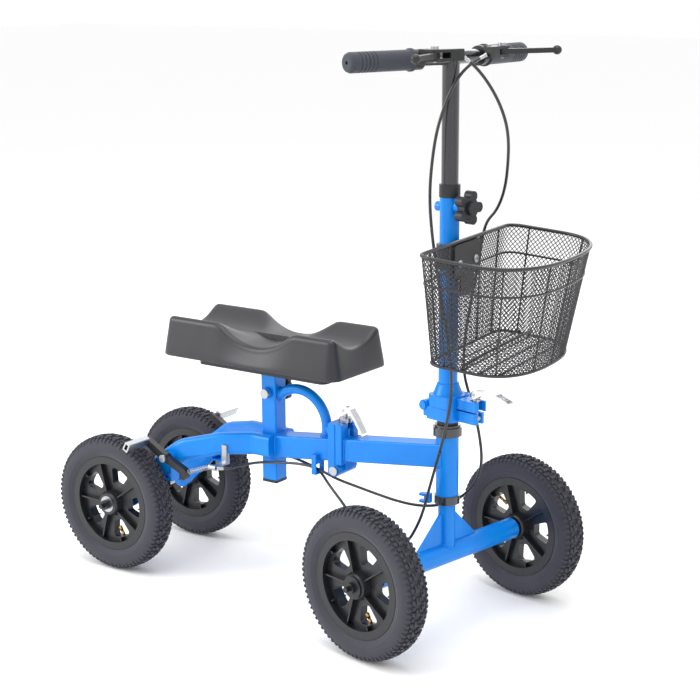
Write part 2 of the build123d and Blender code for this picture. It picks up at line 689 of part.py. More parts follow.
# ================================================================ fork and front axle
# The cross tube is plugged at its ends, where the axle bolts sit, and the steerer is open above its weld.
FRONT_PLUG = 130.0
STEERER_PLUG = 152.0
with BuildPart() as fork:
    rod(level(FORK, 0, 0, 0), STEERER_R, AXLE_Z, COLLAR_BOTTOM + 12)
    rod(side(FORK, 0, 0, AXLE_Z), FRONT_TUBE_R, -FRONT_TUBE_END, FRONT_TUBE_END)
    for way in (-1, 1):
        plate(
            front(FORK, 0, 0, 0),
            [
                (0, 200),
                (0, AXLE_Z),
                (way * 70, AXLE_Z),
                (way * 70, AXLE_Z + FRONT_TUBE_R + 1),
                (way * STEERER_R, 200),
            ],
            6,
        )
    rod(side(FORK, 0, 0, AXLE_Z), AXLE_PIN_R + PRESS, -200, 200, mode=Mode.SUBTRACT)
    rod(side(FORK, 0, 0, AXLE_Z), FRONT_TUBE_R - FRONT_TUBE_WALL, -FRONT_PLUG, FRONT_PLUG, mode=Mode.SUBTRACT)
    rod(level(FORK, 0, 0, 0), STEERER_R - STEERER_WALL, STEERER_PLUG, COLLAR_BOTTOM + 13, mode=Mode.SUBTRACT)
save(fork, "fork")

with BuildPart() as spacer:
    ring(level(FORK, 0, 0, 0), SPACER_R, STEERER_R + PRESS, CUP_TOP + GAP, COLLAR_BOTTOM - PRESS)
save(spacer, "column_spacer")

# ---------------------------------------------------------------- fold collar
KNEE_R = 9.0
KNEE_HALF = 13.0
BOLT_X = 62.0
BOLT_PIN_Z = 374.0
CAM_Z = 414.0
collar_pin = side(FORK, FOLD_PIN_X, 0, COLLAR_SPLIT)
with BuildPart() as collar_lower:
    slab(level(FORK, 1, 0, 0), 58, 54, 10, COLLAR_BOTTOM, COLLAR_SPLIT - 0.2)
    slab(level(FORK, -22, 0, 0), 18, 54, 2, COLLAR_BOTTOM + 4, COLLAR_SPLIT)
    rod(collar_pin, KNEE_R, -27, 27)
    slab(level(FORK, 45, 0, 0), 50, 24, 3, COLLAR_BOTTOM + 2, COLLAR_SPLIT - 1)
    rod(collar_pin, KNEE_R + GAP, -KNEE_HALF - GAP, KNEE_HALF + GAP, mode=Mode.SUBTRACT)
    slab(level(FORK, -35, 0, 0), 12, 2 * (KNEE_HALF + GAP), 1, COLLAR_BOTTOM, COLLAR_TOP, mode=Mode.SUBTRACT)
    slab(level(FORK, 62, 0, 0), 20, 10, 0.5, COLLAR_BOTTOM, COLLAR_TOP, mode=Mode.SUBTRACT)
    rod(level(FORK, 0, 0, 0), STEERER_R + PRESS, 300, COLLAR_BOTTOM + 12, mode=Mode.SUBTRACT)
    rod(side(FORK, BOLT_X, 0, BOLT_PIN_Z), LATCH_PIN_R + PRESS, -30, 30, mode=Mode.SUBTRACT)
    rod(collar_pin, FOLD_PIN_R + PRESS, -40, 40, mode=Mode.SUBTRACT)
save(collar_lower, "collar_lower_half")

SLOT_W = 15.2
with BuildPart() as collar_upper:
    slab(level(FORK, 3, 0, 0), 54, 54, 10, COLLAR_SPLIT + 0.2, COLLAR_TOP)
    turned_shape(
        level(FORK, 0, 0, 0),
        [(0, COLLAR_TOP - 1), (25, COLLAR_TOP - 1), (18.5, CONE_TOP), (0, CONE_TOP)],
    )
    slab(level(FORK, 48, 0, 0), 52, 26, 4, COLLAR_SPLIT + 2, COLLAR_TOP - 2)
    rod(collar_pin, KNEE_R + GAP, -28, 28, mode=Mode.SUBTRACT)
    slab(level(FORK, -30, 0, 0), 12, 60, 1, COLLAR_SPLIT - 20, COLLAR_TOP + 20, mode=Mode.SUBTRACT)
    rod(collar_pin, KNEE_R, -KNEE_HALF, KNEE_HALF)
    slab(level(FORK, -21, 0, 0), 18, 2 * KNEE_HALF, 2, COLLAR_SPLIT + 0.2, COLLAR_TOP - 4)
    slab(level(FORK, 66, 0, 0), 26, SLOT_W, 0.5, COLLAR_SPLIT, COLLAR_TOP, mode=Mode.SUBTRACT)
    rod(level(FORK, 0, 0, 0), COLUMN_R + PRESS, COLLAR_SPLIT + 6, 430, mode=Mode.SUBTRACT)
    rod(collar_pin, FOLD_PIN_R + RUN, -40, 40, mode=Mode.SUBTRACT)
save(collar_upper, "collar_upper_half")

with BuildPart() as collar_pins:
    rod(collar_pin, FOLD_PIN_R, -28, 28)
    for way in (-1, 1):
        rod(collar_pin, 7, way * (27 + PRESS), way * 30)
    rod(side(FORK, BOLT_X, 0, BOLT_PIN_Z), LATCH_PIN_R, -12, 12)
save(collar_pins, "collar_pins")

with BuildPart() as column_bolt:
    rod(side(FORK, BOLT_X, 0, BOLT_PIN_Z), 6.5, -4.7, 4.7)
    rod(level(FORK, BOLT_X, 0, 0), BOLT_R, BOLT_PIN_Z, CAM_Z)
    rod(side(FORK, BOLT_X, 0, BOLT_PIN_Z), LATCH_PIN_R + RUN, -15, 15, mode=Mode.SUBTRACT)
    rod(side(FORK, BOLT_X, 0, CAM_Z), 5, -4.6, 4.6)
    rod(side(FORK, BOLT_X, 0, CAM_Z), 2.5, -7.5, 7.5)
    rod(level(FORK, BOLT_X, 0, 0), 7, COLLAR_TOP - 2 + GAP, CAM_Z - 7.5)
save(column_bolt, "column_bolt")

cam_lever(
    side(FORK, BOLT_X, 0, CAM_Z),
    [(0, 7), (20, 9), (45, 8), (66, 1), (72, -1)],
    [(71, -4), (64, -3), (44, 4), (20, 4), (0, -7)],
    7.0,
    7.0,
    5.0,
    "column_lever",
    9.0,
)
# ---------------------------------------------------------------- column tube, sleeve and stem
KNOB_Z = 716.0
with BuildPart() as column:
    ring(level(FORK, 0, 0, 0), COLUMN_R, STEM_R + SLIDE, COLLAR_SPLIT + 6.1, COLUMN_TOP)
    rod(front(FORK, 0, 0, KNOB_Z), 9, STEM_R + SLIDE + 1, 24)
    rod(front(FORK, 0, 0, KNOB_Z - 3), 8, -26, -STEM_R - SLIDE - 1)
    rod(front(FORK, 0, 0, KNOB_Z), 4 + RUN, 0, 30, mode=Mode.SUBTRACT)
save(column, "column_tube")

with BuildPart() as sleeve:
    ring(level(FORK, 0, 0, 0), SLEEVE_R, STEM_R + RUN, COLUMN_TOP + PRESS, SLEEVE_TOP)
save(sleeve, "column_sleeve")


def star_knob(face, lobes, reach, thick, start, screw_r, screw_from, name, bore=0.0):
    """Lobed hand knob on a plane facing outward; the screw reaches inward."""
    with BuildPart() as knob:
        with BuildSketch(face.offset(start)) as star:
            Circle(reach * 0.62)
            with PolarLocations(reach * 0.7, lobes):
                Circle(reach * 0.3)
        extrude(star.sketch, amount=thick)
        rod(face, reach * 0.4, start - 5, start + thick + 6)
        if bore:
            rod(face, bore, start - 10, start + thick, mode=Mode.SUBTRACT)
        else:
            rod(face, screw_r, screw_from, start)
    save(knob, name)


star_knob(front(FORK, 0, 0, KNOB_Z), 5, 28.0, 14.0, 32.0, 4.0, STEM_R + GAP, "column_knob")
star_knob(
    Plane(origin=FRAME.from_local_coords((POST_X, 0, CLAMP_Z)), x_dir=(1, 0, 0), z_dir=(0, 1, 0)),
    5,
    22.0,
    11.0,
    POST_W / 2 + 12,
    0,
    0,
    "seat_knob",
    bore=CLAMP_R + RUN,
)
with BuildPart() as seat_bolt:
    rod(side(FRAME, POST_X, 0, CLAMP_Z), CLAMP_R, -POST_W / 2 - 20, POST_W / 2 + 7)
    rod(side(FRAME, POST_X, 0, CLAMP_Z), 8.5, POST_W / 2 + 6 + PRESS, POST_W / 2 + 12)
save(seat_bolt, "seat_clamp_bolt")

BAR_Z = STEM_TOP
BAR_DIRS = {}
for bar_name, bar_way in ARM_SIDES.items():
    sweep_angle = math.radians(BAR_SWEEP)
    BAR_DIRS[bar_name] = (-math.sin(sweep_angle), bar_way * math.cos(sweep_angle))


def along_bar(way_name, distance, z=BAR_Z):
    """Point in the fork datum at a distance along the handlebar from its middle."""
    direction = BAR_DIRS[way_name]
    way = ARM_SIDES[way_name]
    run = distance - BAR_STRAIGHT
    return (direction[0] * run, way * BAR_STRAIGHT + direction[1] * run, z)


def bar_plane_at(way_name, distance):
    """Plane across the handlebar, facing its end."""
    here = FORK.from_local_coords(along_bar(way_name, distance))
    there = FORK.from_local_coords(along_bar(way_name, distance + 10))
    return Plane(origin=here, x_dir=(0, 0, 1), z_dir=there - here)


with BuildPart() as handlebar:
    bar_points = at(
        FORK,
        along_bar("right", BAR_END - 4),
        along_bar("right", BAR_STRAIGHT),
        along_bar("left", BAR_STRAIGHT),
        along_bar("left", BAR_END - 4),
    )
    bent_bar(bar_points, BAR_R, 120, hollow=BAR_R - BAR_WALL)
    rod(level(FORK, 0, 0, 0), STEM_R, STEM_BOTTOM, BAR_Z)
    rod(level(FORK, 0, 0, 0), STEM_R - 2, STEM_BOTTOM - 1, BAR_Z - 2 * BAR_R, mode=Mode.SUBTRACT)
save(handlebar, "handlebar")

GRIP_LEN = BAR_END - GRIP_START
with BuildPart() as grips:
    for way_name in ARM_SIDES:
        grip_plane = bar_plane_at(way_name, GRIP_START)
        turned_shape(
            grip_plane,
            [
                (BAR_R + PRESS, 0),
                (GRIP_R + 2, 0),
                (GRIP_R + 2, 4),
                (GRIP_R, 6),
                (GRIP_R, GRIP_LEN - 6),
                (GRIP_R - 2, GRIP_LEN - 1.5),
                (GRIP_R - 5, GRIP_LEN),
                (3, GRIP_LEN),
                (3, GRIP_LEN - 4 + PRESS),
                (BAR_R + PRESS, GRIP_LEN - 4 + PRESS),
            ],
        )
        for groove in range(5):
            ring(grip_plane, GRIP_R + 1, GRIP_R - 0.8, 74 + groove * 7, 76 + groove * 7, mode=Mode.SUBTRACT)
save(grips, "grips")

# ---------------------------------------------------------------- brake lever brackets and blades
LEVER_PIVOT = (37.0, 79.0)
LEVER_Z = 958.0
LEVER_HALF = 4.0
with BuildPart() as brackets:
    for way_name, way in ARM_SIDES.items():
        plane_here = bar_plane_at(way_name, 77)
        with BuildSketch(level(FORK, 0, 0, LEVER_Z)) as body:
            with BuildLine():
                Polyline(
                    (8, way * 68),
                    (10, way * 86),
                    (30, way * 90),
                    (46, way * 86),
                    (48, way * 72),
                    (55, way * 42),
                    (56, way * 32),
                    (44, way * 31),
                    (40, way * 50),
                    (28, way * 66),
                    close=True,
                )
            make_face()
        extrude(body.sketch, amount=9, both=True)
        rod(plane_here, 16, -8, 8)
        rod(plane_here, BAR_R + PRESS, -30, 30, mode=Mode.SUBTRACT)
        with BuildSketch(level(FORK, 0, 0, LEVER_Z)) as mouth:
            with BuildLine():
                Polyline((26, way * 58), (26, way * 120), (80, way * 120), (80, way * 58), close=True)
            make_face()
        extrude(mouth.sketch, amount=LEVER_HALF + GAP, both=True, mode=Mode.SUBTRACT)
        rod(level(FORK, LEVER_PIVOT[0], way * LEVER_PIVOT[1], LEVER_Z), 3 + PRESS, -20, 20, mode=Mode.SUBTRACT)
save(brackets, "lever_brackets")

with BuildPart() as lever_bolts:
    for way in ARM_SIDES.values():
        here = level(FORK, LEVER_PIVOT[0], way * LEVER_PIVOT[1], LEVER_Z)
        rod(here, 3, -11, 11)
        rod(here, 6, 9 + PRESS, 14)
save(lever_bolts, "lever_bolts")

for way_name, way in ARM_SIDES.items():
    pivot = level(FORK, LEVER_PIVOT[0], way * LEVER_PIVOT[1], LEVER_Z)
    with BuildPart() as blade:
        rod(pivot, 8, -LEVER_HALF, LEVER_HALF)
        stations = [(37, 79, 7.5), (50, 102, 6.0), (66, 138, 5.0), (79, 167, 4.5)]
        for first, second in zip(stations, stations[1:]):
            with BuildSketch(level(FORK, 0, 0, LEVER_Z)) as span:
                with Locations((first[0], way * first[1])):
                    Circle(first[2])
                with Locations((second[0], way * second[1])):
                    Circle(second[2])
                make_hull()
            extrude(span.sketch, amount=LEVER_HALF, both=True)
        with Locations(FORK.from_local_coords((79, way * 167, LEVER_Z))):
            Sphere(7.5)
        rod(pivot, 3 + RUN, -20, 20, mode=Mode.SUBTRACT)
    save(blade, f"brake_lever_{way_name}")

# ================================================================ seat
def framed_slab(wide, tall, corner, bottom, top, x=POST_X, mode=Mode.ADD):
    """Upright block on the seat post line."""
    slab(level(FRAME, x, 0, 0), wide, tall, corner, bottom, top, mode=mode)


INNER_BOTTOM = 215.0
BOARD_BOTTOM = PAD_BOTTOM - GAP - BOARD_T
SEAT_TRAVEL = 120.0
with BuildPart() as inner_post:
    framed_slab(INNER_POST_W, INNER_POST_W, 2, INNER_BOTTOM, BOARD_BOTTOM - PRESS)
    framed_slab(INNER_POST_W - 4, INNER_POST_W - 4, 1, INNER_BOTTOM - 1, BOARD_BOTTOM - 3, mode=Mode.SUBTRACT)
    slot_low = CLAMP_Z - SEAT_TRAVEL
    slot_mid = (CLAMP_Z + slot_low) / 2
    with BuildSketch(side(FRAME, POST_X, 0, slot_mid)) as slot:
        SlotOverall(SEAT_TRAVEL + 2 * (CLAMP_R + GAP), 2 * (CLAMP_R + GAP), rotation=90)
    extrude(slot.sketch, amount=40, both=True, mode=Mode.SUBTRACT)
save(inner_post, "seat_post_inner")

board_mid = (BOARD_BACK + BOARD_FRONT) / 2
with BuildPart() as board:
    slab(level(FRAME, board_mid, 0, 0), BOARD_FRONT - BOARD_BACK, 2 * BOARD_HALF, 12, BOARD_BOTTOM, BOARD_BOTTOM + BOARD_T)
save(board, "seat_board")

pad_mid = (PAD_BACK + PAD_FRONT) / 2
PAD_LEN = PAD_FRONT - PAD_BACK
PAD_SIDE_SLOPE = 9.0
TROUGH_R = 95.0
TROUGH_Z = 463.0
DIP_R = 105.0
DIP_X = 306.0
DIP_Z = 450.0
with BuildPart() as pad:
    with BuildSketch(level(FRAME, pad_mid, 0, PAD_BOTTOM)) as low:
        RectangleRounded(PAD_LEN - 8, 2 * PAD_HALF - 8, 24)
    with BuildSketch(level(FRAME, pad_mid, 0, PAD_BOTTOM + 12)) as belly:
        RectangleRounded(PAD_LEN, 2 * PAD_HALF, 28)
    with BuildSketch(level(FRAME, pad_mid, 0, PAD_TOP + 3)) as high:
        RectangleRounded(PAD_LEN - 14, 2 * (PAD_HALF - PAD_SIDE_SLOPE), 28)
    loft([low.sketch, belly.sketch])
    loft([belly.sketch, high.sketch])
    rod(front(FRAME, 0, 0, TROUGH_Z + TROUGH_R), TROUGH_R, 0, 600, mode=Mode.SUBTRACT)
    rod(side(FRAME, DIP_X, 0, DIP_Z + DIP_R), DIP_R, -200, 200, mode=Mode.SUBTRACT)
save(pad, "seat_pad")

# ================================================================ basket
BASKET_TILT = 4.8             # degrees the rim falls toward the front
FLOOR_BACK = 26.0
NOSE_POWER = 2.46             # fullness of the rounded front
NOSE_STEPS = 8


def basket_plane(forward, height, lift):
    """Tilted plane parallel to the rim, starting on the basket's back edge."""
    tilt = math.radians(BASKET_TILT)
    ahead = BASKET.x_dir * math.cos(tilt) - BASKET.z_dir * math.sin(tilt)
    up = BASKET.x_dir * math.sin(tilt) + BASKET.z_dir * math.cos(tilt)
    here = BASKET.from_local_coords((forward, 0, height)) + up * lift
    return Plane(origin=here, x_dir=ahead, z_dir=up)


def basket_outline(plane, half, depth, inset):
    """Basket plan: square back corners and a rounded front."""
    back = inset
    wide = half - inset
    deep = depth - inset
    straight = depth * 0.48
    corner = 24.0
    nose = []
    for step in range(NOSE_STEPS + 1):
        angle = math.pi * (0.5 - step / NOSE_STEPS)
        forward = abs(math.cos(angle)) ** (2 / NOSE_POWER)
        across = math.copysign(abs(math.sin(angle)) ** (2 / NOSE_POWER), math.sin(angle))
        nose.append((straight + (deep - straight) * forward, wide * across))
    with BuildSketch(plane) as outline:
        with BuildLine():
            Line((back, -(wide - corner)), (back, wide - corner))
            RadiusArc((back, wide - corner), (back + corner, wide), corner)
            Line((back + corner, wide), nose[0])
            Spline(*nose[: NOSE_STEPS // 2 + 1], tangents=((1, 0), (0, -1)))
            Spline(*nose[: NOSE_STEPS // 2 - 1 : -1], tangents=((1, 0), (0, 1)))
            Line(nose[-1], (back + corner, -wide))
            RadiusArc((back + corner, -wide), (back, -(wide - corner)), corner)
        make_face()
    return outline.sketch


with BuildPart() as basket:
    floor_outer = basket_outline(basket_plane(FLOOR_BACK, RIM_Z - BASKET_H, 0), FLOOR_HALF, FLOOR_DEPTH, 0)
    rim_outer = basket_outline(basket_plane(BASKET_BACK, RIM_Z, 0), RIM_HALF, RIM_DEPTH, 0)
    loft([floor_outer, rim_outer])
    floor_inner = basket_outline(basket_plane(FLOOR_BACK, RIM_Z - BASKET_H, 4), FLOOR_HALF, FLOOR_DEPTH, BASKET_WALL)
    rim_inner = basket_outline(basket_plane(BASKET_BACK, RIM_Z, 1), RIM_HALF, RIM_DEPTH, BASKET_WALL)
    loft([floor_inner, rim_inner], mode=Mode.SUBTRACT)
save(basket, "basket")

CLAMP_PLATE_T = 3.0
BRACKET_HIGH = 660.0
BRACKET_LOW = 608.0
TONGUE_LOW = 575.0
plate_mid = (BRACKET_HIGH + BRACKET_LOW) / 2
plate_tall = BRACKET_HIGH - BRACKET_LOW
plate_back = BASKET_BACK - GAP
with BuildPart() as bracket:
    rod(level(BASKET, 0, 0, 0), COLUMN_R + 5, BRACKET_LOW + 6, BRACKET_HIGH - 6)
    slab(level(BASKET, 17.5, 0, 0), 13, 34, 2, BRACKET_LOW + 6, BRACKET_HIGH - 6)
    slab(front(BASKET, 0, 0, plate_mid), 96, plate_tall, 6, plate_back - CLAMP_PLATE_T, plate_back)
    rod(level(BASKET, 0, 0, 0), COLUMN_R + PRESS, 500, 700, mode=Mode.SUBTRACT)
    for way in (-1, 1):
        rod(front(BASKET, 0, way * 30, 628), 3 + PRESS, 0, 60, mode=Mode.SUBTRACT)
save(bracket, "basket_clamp")

wall_front = BASKET_BACK + BASKET_WALL + 0.35
with BuildPart() as inner_plate:
    slab(front(BASKET, 0, 0, plate_mid), 96, plate_tall, 6, wall_front, wall_front + CLAMP_PLATE_T)
    slab(front(BASKET, 0, 0, (plate_mid + TONGUE_LOW) / 2), 50, plate_mid - TONGUE_LOW, 4, wall_front, wall_front + CLAMP_PLATE_T)
    for way in (-1, 1):
        rod(front(BASKET, 0, way * 30, 628), 3 + PRESS, 0, 60, mode=Mode.SUBTRACT)
save(inner_plate, "basket_plate")

# ================================================================ brake springs and cables
SPRING_R = 4.2
SPRING_WIRE = 0.7
SPRING_TURNS = 8
with BuildPart() as springs:
    for way in ARM_SIDES.values():
        low_end = Vector(*FRAME.from_local_coords((BRAKE_LOW[0] + 7.5, way * (BRAKE_Y - 3), BRAKE_LOW[1])))
        high_end = Vector(*FRAME.from_local_coords((BRAKE_STOP_X - STOP_LEN / 2 - 1, way * STOP_Y, BRAKE_STOP_Z)))
        reach = (high_end - low_end).length
        along = Plane(origin=low_end, z_dir=high_end - low_end)
        rod(along, 0.8, 0, reach)
        coil_line = Helix(reach / SPRING_TURNS, reach, SPRING_R)
        coil_line = along.location * coil_line
        with BuildSketch(Plane(origin=coil_line @ 0, z_dir=coil_line % 0)) as wire:
            Circle(SPRING_WIRE)
        sweep(wire.sketch, path=coil_line)
save(springs, "brake_springs")


def cable(points, name):
    """Brake cable housing along straight runs joined by tangent arcs."""
    radii = []
    runs = [second - first for first, second in zip(points, points[1:])]
    for before, after in zip(runs, runs[1:]):
        turn = math.radians(before.get_angle(after))
        shorter = min(before.length, after.length)
        radii.append(0.45 * shorter / math.tan(turn / 2))
    print(name, "radii", [round(radius, 1) for radius in radii])
    print(name, "runs", [round(run.length, 1) for run in runs])
    with BuildPart() as housing:
        with BuildLine() as route:
            FilletPolyline(*points, radius=radii)
        with BuildSketch(Plane(origin=route.line @ 0, z_dir=route.line % 0)) as section:
            Circle(CABLE_R)
        sweep(section.sketch, path=route.line)
    length = sum(edge.length for edge in route.line.edges())
    print(name, "length", round(length, 1), "volume ratio", housing.part.volume / (length * math.pi * CABLE_R**2))
    save(housing, name)


RIGHT_UPPER = [
    (52, -28.6, 953.5),
    (62, -21, 945),
    (82, -11, 921),
    (100, -2, 889),
    (109, 7, 855),
    (107, 16, 824),
    (98, 26, 790),
    (83, 40, 757),
    (62, 56, 728),
    (37, 71, 703),
    (14, 82, 688),
    (1, 87.5, 674),
    (-7, 89.5, 652),
    (-12, 88, 614),
    (-16, 77, 559),
    (-14, 60, 503),
    (-8, 47, 457),
    (-1, 41.5, 428),
    (8, 41, 404),
    (20, 43.5, 370),
    (30, 44.5, 336),
    (37, 44, 303),
    (38, 43, 280),
    (32, 42, 256),
    (21, 39, 236),
]
RIGHT_LOWER = [
    (660, 31, 220),
    (643, 23, 208),
    (618, 8, 201),
    (590, -4, 200),
    (555, -10, 203),
    (518, -14, 209),
    (478, -17, 216),
    (440, -19, 222),
    (412, -21, 231),
    (390, -22, 237),
    (358, -22.5, 238),
    (322, -24, 234),
    (286, -28, 230),
    (263, -42, 227),
    (250, -62, 224),
    (240, -80, 222.3),
    (223.3, -87.2, 222),
]
LEFT_UPPER = [
    (48.5, 28.8, 955),
    (42, 21, 950),
    (33, 9, 941),
    (23, -4, 925),
    (13, -16, 899),
    (4, -24.5, 866),
    (-4, -29, 833),
    (-9, -32, 794),
    (-12, -34, 752),
    (-11, -35, 717),
    (-7, -35.5, 684),
    (-1, -36, 650),
    (9, -36.5, 603),
    (21, -36, 549),
    (31, -34, 497),
    (36, -32, 452),
    (35.5, -31.5, 415),
    (31, -32.5, 382),
    (24, -33.5, 350),
    (14, -34, 314),
    (1, -34, 276),
    (-10, -33.5, 244),
    (-17, -35, 216),
    (-25, -38.5, 189),
    (-34, -42, 168),
]
LEFT_LOWER = [
    (598, -39, 149),
    (578, -42, 137),
    (549, -45, 132),
    (519, -47, 142),
    (493, -47, 164),
    (468, -44, 190),
    (443, -39, 208),
    (423, -30, 218),
    (407, -20, 225),
    (390, -12, 232),
    (360, -5, 235),
    (328, 8, 234),
    (303, 21, 231),
    (280, 30, 229),
    (262, 44, 227),
    (250, 62, 224),
    (240, 80, 222.3),
    (223.3, 87.2, 222),
]
cable(at(FORK, *RIGHT_UPPER) + at(FRAME, *RIGHT_LOWER), "brake_cable_right")
cable(at(FORK, *LEFT_UPPER) + at(FRAME, *LEFT_LOWER), "brake_cable_left")
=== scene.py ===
# %% [markdown]
# # A folding knee scooter
# The scooter is a blue powder-coated steel frame on four air-filled tyres. A rider kneels on the moulded pad
# and steers with the bar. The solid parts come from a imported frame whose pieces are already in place, so this
# script only gives them their finishes and builds what a solid model cannot show well: knobby tyres, the
# woven wire basket, the moulded pad, the brake cables and small fittings. Everything is in metres: +X is
# forward, +Y is the rider's left and +Z is up.

# %% Load the frame
import json
import math

import bmesh
import bpy
import numpy as np
from mathutils import Matrix, Vector


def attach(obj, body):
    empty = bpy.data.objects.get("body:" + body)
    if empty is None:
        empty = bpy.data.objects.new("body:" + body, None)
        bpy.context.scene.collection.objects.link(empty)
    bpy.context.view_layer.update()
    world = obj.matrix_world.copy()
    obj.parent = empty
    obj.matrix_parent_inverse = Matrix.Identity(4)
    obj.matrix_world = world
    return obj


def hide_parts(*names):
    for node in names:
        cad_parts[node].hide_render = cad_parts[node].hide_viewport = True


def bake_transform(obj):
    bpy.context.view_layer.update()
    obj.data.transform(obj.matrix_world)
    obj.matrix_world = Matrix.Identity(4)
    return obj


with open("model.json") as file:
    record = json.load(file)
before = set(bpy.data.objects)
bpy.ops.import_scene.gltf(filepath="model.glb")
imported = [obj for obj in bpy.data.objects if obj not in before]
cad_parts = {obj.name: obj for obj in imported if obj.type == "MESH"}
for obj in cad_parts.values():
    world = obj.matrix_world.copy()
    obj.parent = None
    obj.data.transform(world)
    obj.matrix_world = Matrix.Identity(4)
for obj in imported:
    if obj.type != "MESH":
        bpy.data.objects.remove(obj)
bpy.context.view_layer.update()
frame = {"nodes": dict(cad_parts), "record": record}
nodes = frame["nodes"]
scene = bpy.context.scene
MM = 0.001

# %% [markdown]
# ## The two working datums
# The rear frame, the seat and the wheels behind it are measured from the rear axle. The fork, the column and
# the bar turn together, a little to the right, so they are measured from the steering axis in axes turned
# with them. Writing a point in the datum of its own part keeps its numbers simple, and one function brings it
# to the scene.

# %% Datums
REAR_AXLE_X = -0.37122
WHEELBASE = 0.6486
STEER_REST = math.radians(-10.1)
BASKET_YAW = math.radians(6.0)


def turned_about_up(x, angle):
    """Datum on the middle line at x ahead of the rear axle, turned about the vertical."""
    return Matrix.Translation((REAR_AXLE_X + x, 0, 0)) @ Matrix.Rotation(angle, 4, "Z")


FRAME = turned_about_up(0, 0)
FORK = turned_about_up(WHEELBASE, STEER_REST)
BASKET = turned_about_up(WHEELBASE, BASKET_YAW)


def place(datum, x, y, z):
    """Point given in millimetres in a datum, as a scene point in metres."""
    return datum @ Vector((x * MM, y * MM, z * MM))


print("steering axis at", [round(value, 4) for value in place(FORK, 0, 0, 0)])

# %% [markdown]
# ## Colours and nodes
# A screen colour is stored in sRGB, while the renderer adds light in linear values. One function makes the
# change, so each colour can be written as it is seen. A second function adds a node, sets its sockets and
# makes its links, and a few more turn a texture into colour, roughness or bump, so each finish below reads as
# a short recipe.

# %% Colour and node helpers
def linear(hex_colour):
    """sRGB hex colour as linear RGBA."""
    channels = [int(hex_colour[start : start + 2], 16) / 255 for start in (1, 3, 5)]
    lit = [c / 12.92 if c <= 0.04045 else ((c + 0.055) / 1.055) ** 2.4 for c in channels]
    return (*lit, 1.0)


def add_node(tree, kind, **sockets):
    """Add a node and give each named socket a value or a link."""
    made = tree.nodes.new(kind)
    for name, value in sockets.items():
        socket = made.inputs[name.replace("_", " ")]
        if isinstance(value, bpy.types.NodeSocket):
            tree.links.new(value, socket)
        else:
            socket.default_value = value
    return made


def new_finish(name, **sockets):
    """Material with its shader's constant values set; gives the tree, the shader and the object coordinates."""
    material = bpy.data.materials.new(name)
    material.use_nodes = True
    tree = material.node_tree
    shader = tree.nodes["Principled BSDF"]
    for socket, value in sockets.items():
        shader.inputs[socket.replace("_", " ")].default_value = value
    coordinates = add_node(tree, "ShaderNodeTexCoord").outputs["Object"]
    return material, tree, shader, coordinates


def noise(tree, coordinates, size_mm, detail, **more):
    """Cloudy texture with features of about this size."""
    scale = 1 / (size_mm * MM)
    clouds = add_node(tree, "ShaderNodeTexNoise", Vector=coordinates, Scale=scale, Detail=detail, **more)
    return clouds.outputs["Fac"]


def pebbles(tree, coordinates, size_mm):
    """Texture of small rounded cells, as the distance from each cell's middle."""
    scale = 1 / (size_mm * MM)
    return add_node(tree, "ShaderNodeTexVoronoi", Vector=coordinates, Scale=scale).outputs["Distance"]


def colour_by(tree, shader, texture, low, high):
    """Base colour between two screen colours."""
    ramp = add_node(tree, "ShaderNodeValToRGB", Fac=texture)
    ramp.color_ramp.elements[0].color = linear(low)
    ramp.color_ramp.elements[1].color = linear(high)
    tree.links.new(ramp.outputs["Color"], shader.inputs["Base Color"])


def rough_by(tree, shader, texture, low, high):
    """Roughness between two values."""
    spread = add_node(tree, "ShaderNodeMapRange", Value=texture, To_Min=low, To_Max=high)
    tree.links.new(spread.outputs["Result"], shader.inputs["Roughness"])


def bump_by(tree, shader, texture, strength, depth_mm):
    """Surface relief of this depth."""
    bump = add_node(tree, "ShaderNodeBump", Height=texture, Strength=strength, Distance=depth_mm * MM)
    tree.links.new(bump.outputs["Normal"], shader.inputs["Normal"])


print("white is", linear("#ffffff"))

# %% [markdown]
# ## Blue powder coat
# The frame is welded steel, sprayed with dry polyester powder and baked. The powder flows as it melts, which
# leaves a thick, glossy skin with a faint orange peel about two millimetres across. Fine noise in the bump
# gives the peel, and slow noise shifts the blue slightly, since the coat is never equally thick.

# %% Azure powder coat
azure_powder_coat, tree, shader, coordinates = new_finish(
    "azure_powder_coat", IOR=1.5, Specular_IOR_Level=0.28, Coat_Weight=0.12, Coat_Roughness=0.12
)
drift = noise(tree, coordinates, 60, 2.0)
colour_by(tree, shader, drift, "#0076d6", "#048bea")
rough_by(tree, shader, drift, 0.26, 0.38)
bump_by(tree, shader, noise(tree, coordinates, 2.2, 1.0), 0.06, 0.3)
print("made", azure_powder_coat.name)

# %% [markdown]
# ## Black finishes
# The brackets, brake arms and levers have a satin black powder coat with a grainier skin than the blue. The
# bar, its stem and the headset rings are smoother and glossier, as stove enamel is. The knobs, sleeve and
# caps are injection-moulded plastic, etched with a fine spark texture in the mould. The rims are plastic with
# glass fibre in it, and show faint flow marks where the melt ran.

# %% Black powder coat and enamel
black_powder_coat, tree, shader, coordinates = new_finish(
    "black_powder_coat", IOR=1.5, Coat_Weight=0.1, Coat_Roughness=0.3
)
grain = noise(tree, coordinates, 1.1, 3.0)
colour_by(tree, shader, grain, "#0d0e10", "#1c1d20")
rough_by(tree, shader, grain, 0.34, 0.5)
bump_by(tree, shader, grain, 0.15, 0.15)

black_stove_enamel, tree, shader, coordinates = new_finish(
    "black_stove_enamel", IOR=1.5, Coat_Weight=0.9, Coat_Roughness=0.14
)
rub = noise(tree, coordinates, 35, 4.0)
colour_by(tree, shader, rub, "#17181c", "#212227")
rough_by(tree, shader, rub, 0.2, 0.34)
print("made", black_powder_coat.name, "and", black_stove_enamel.name)

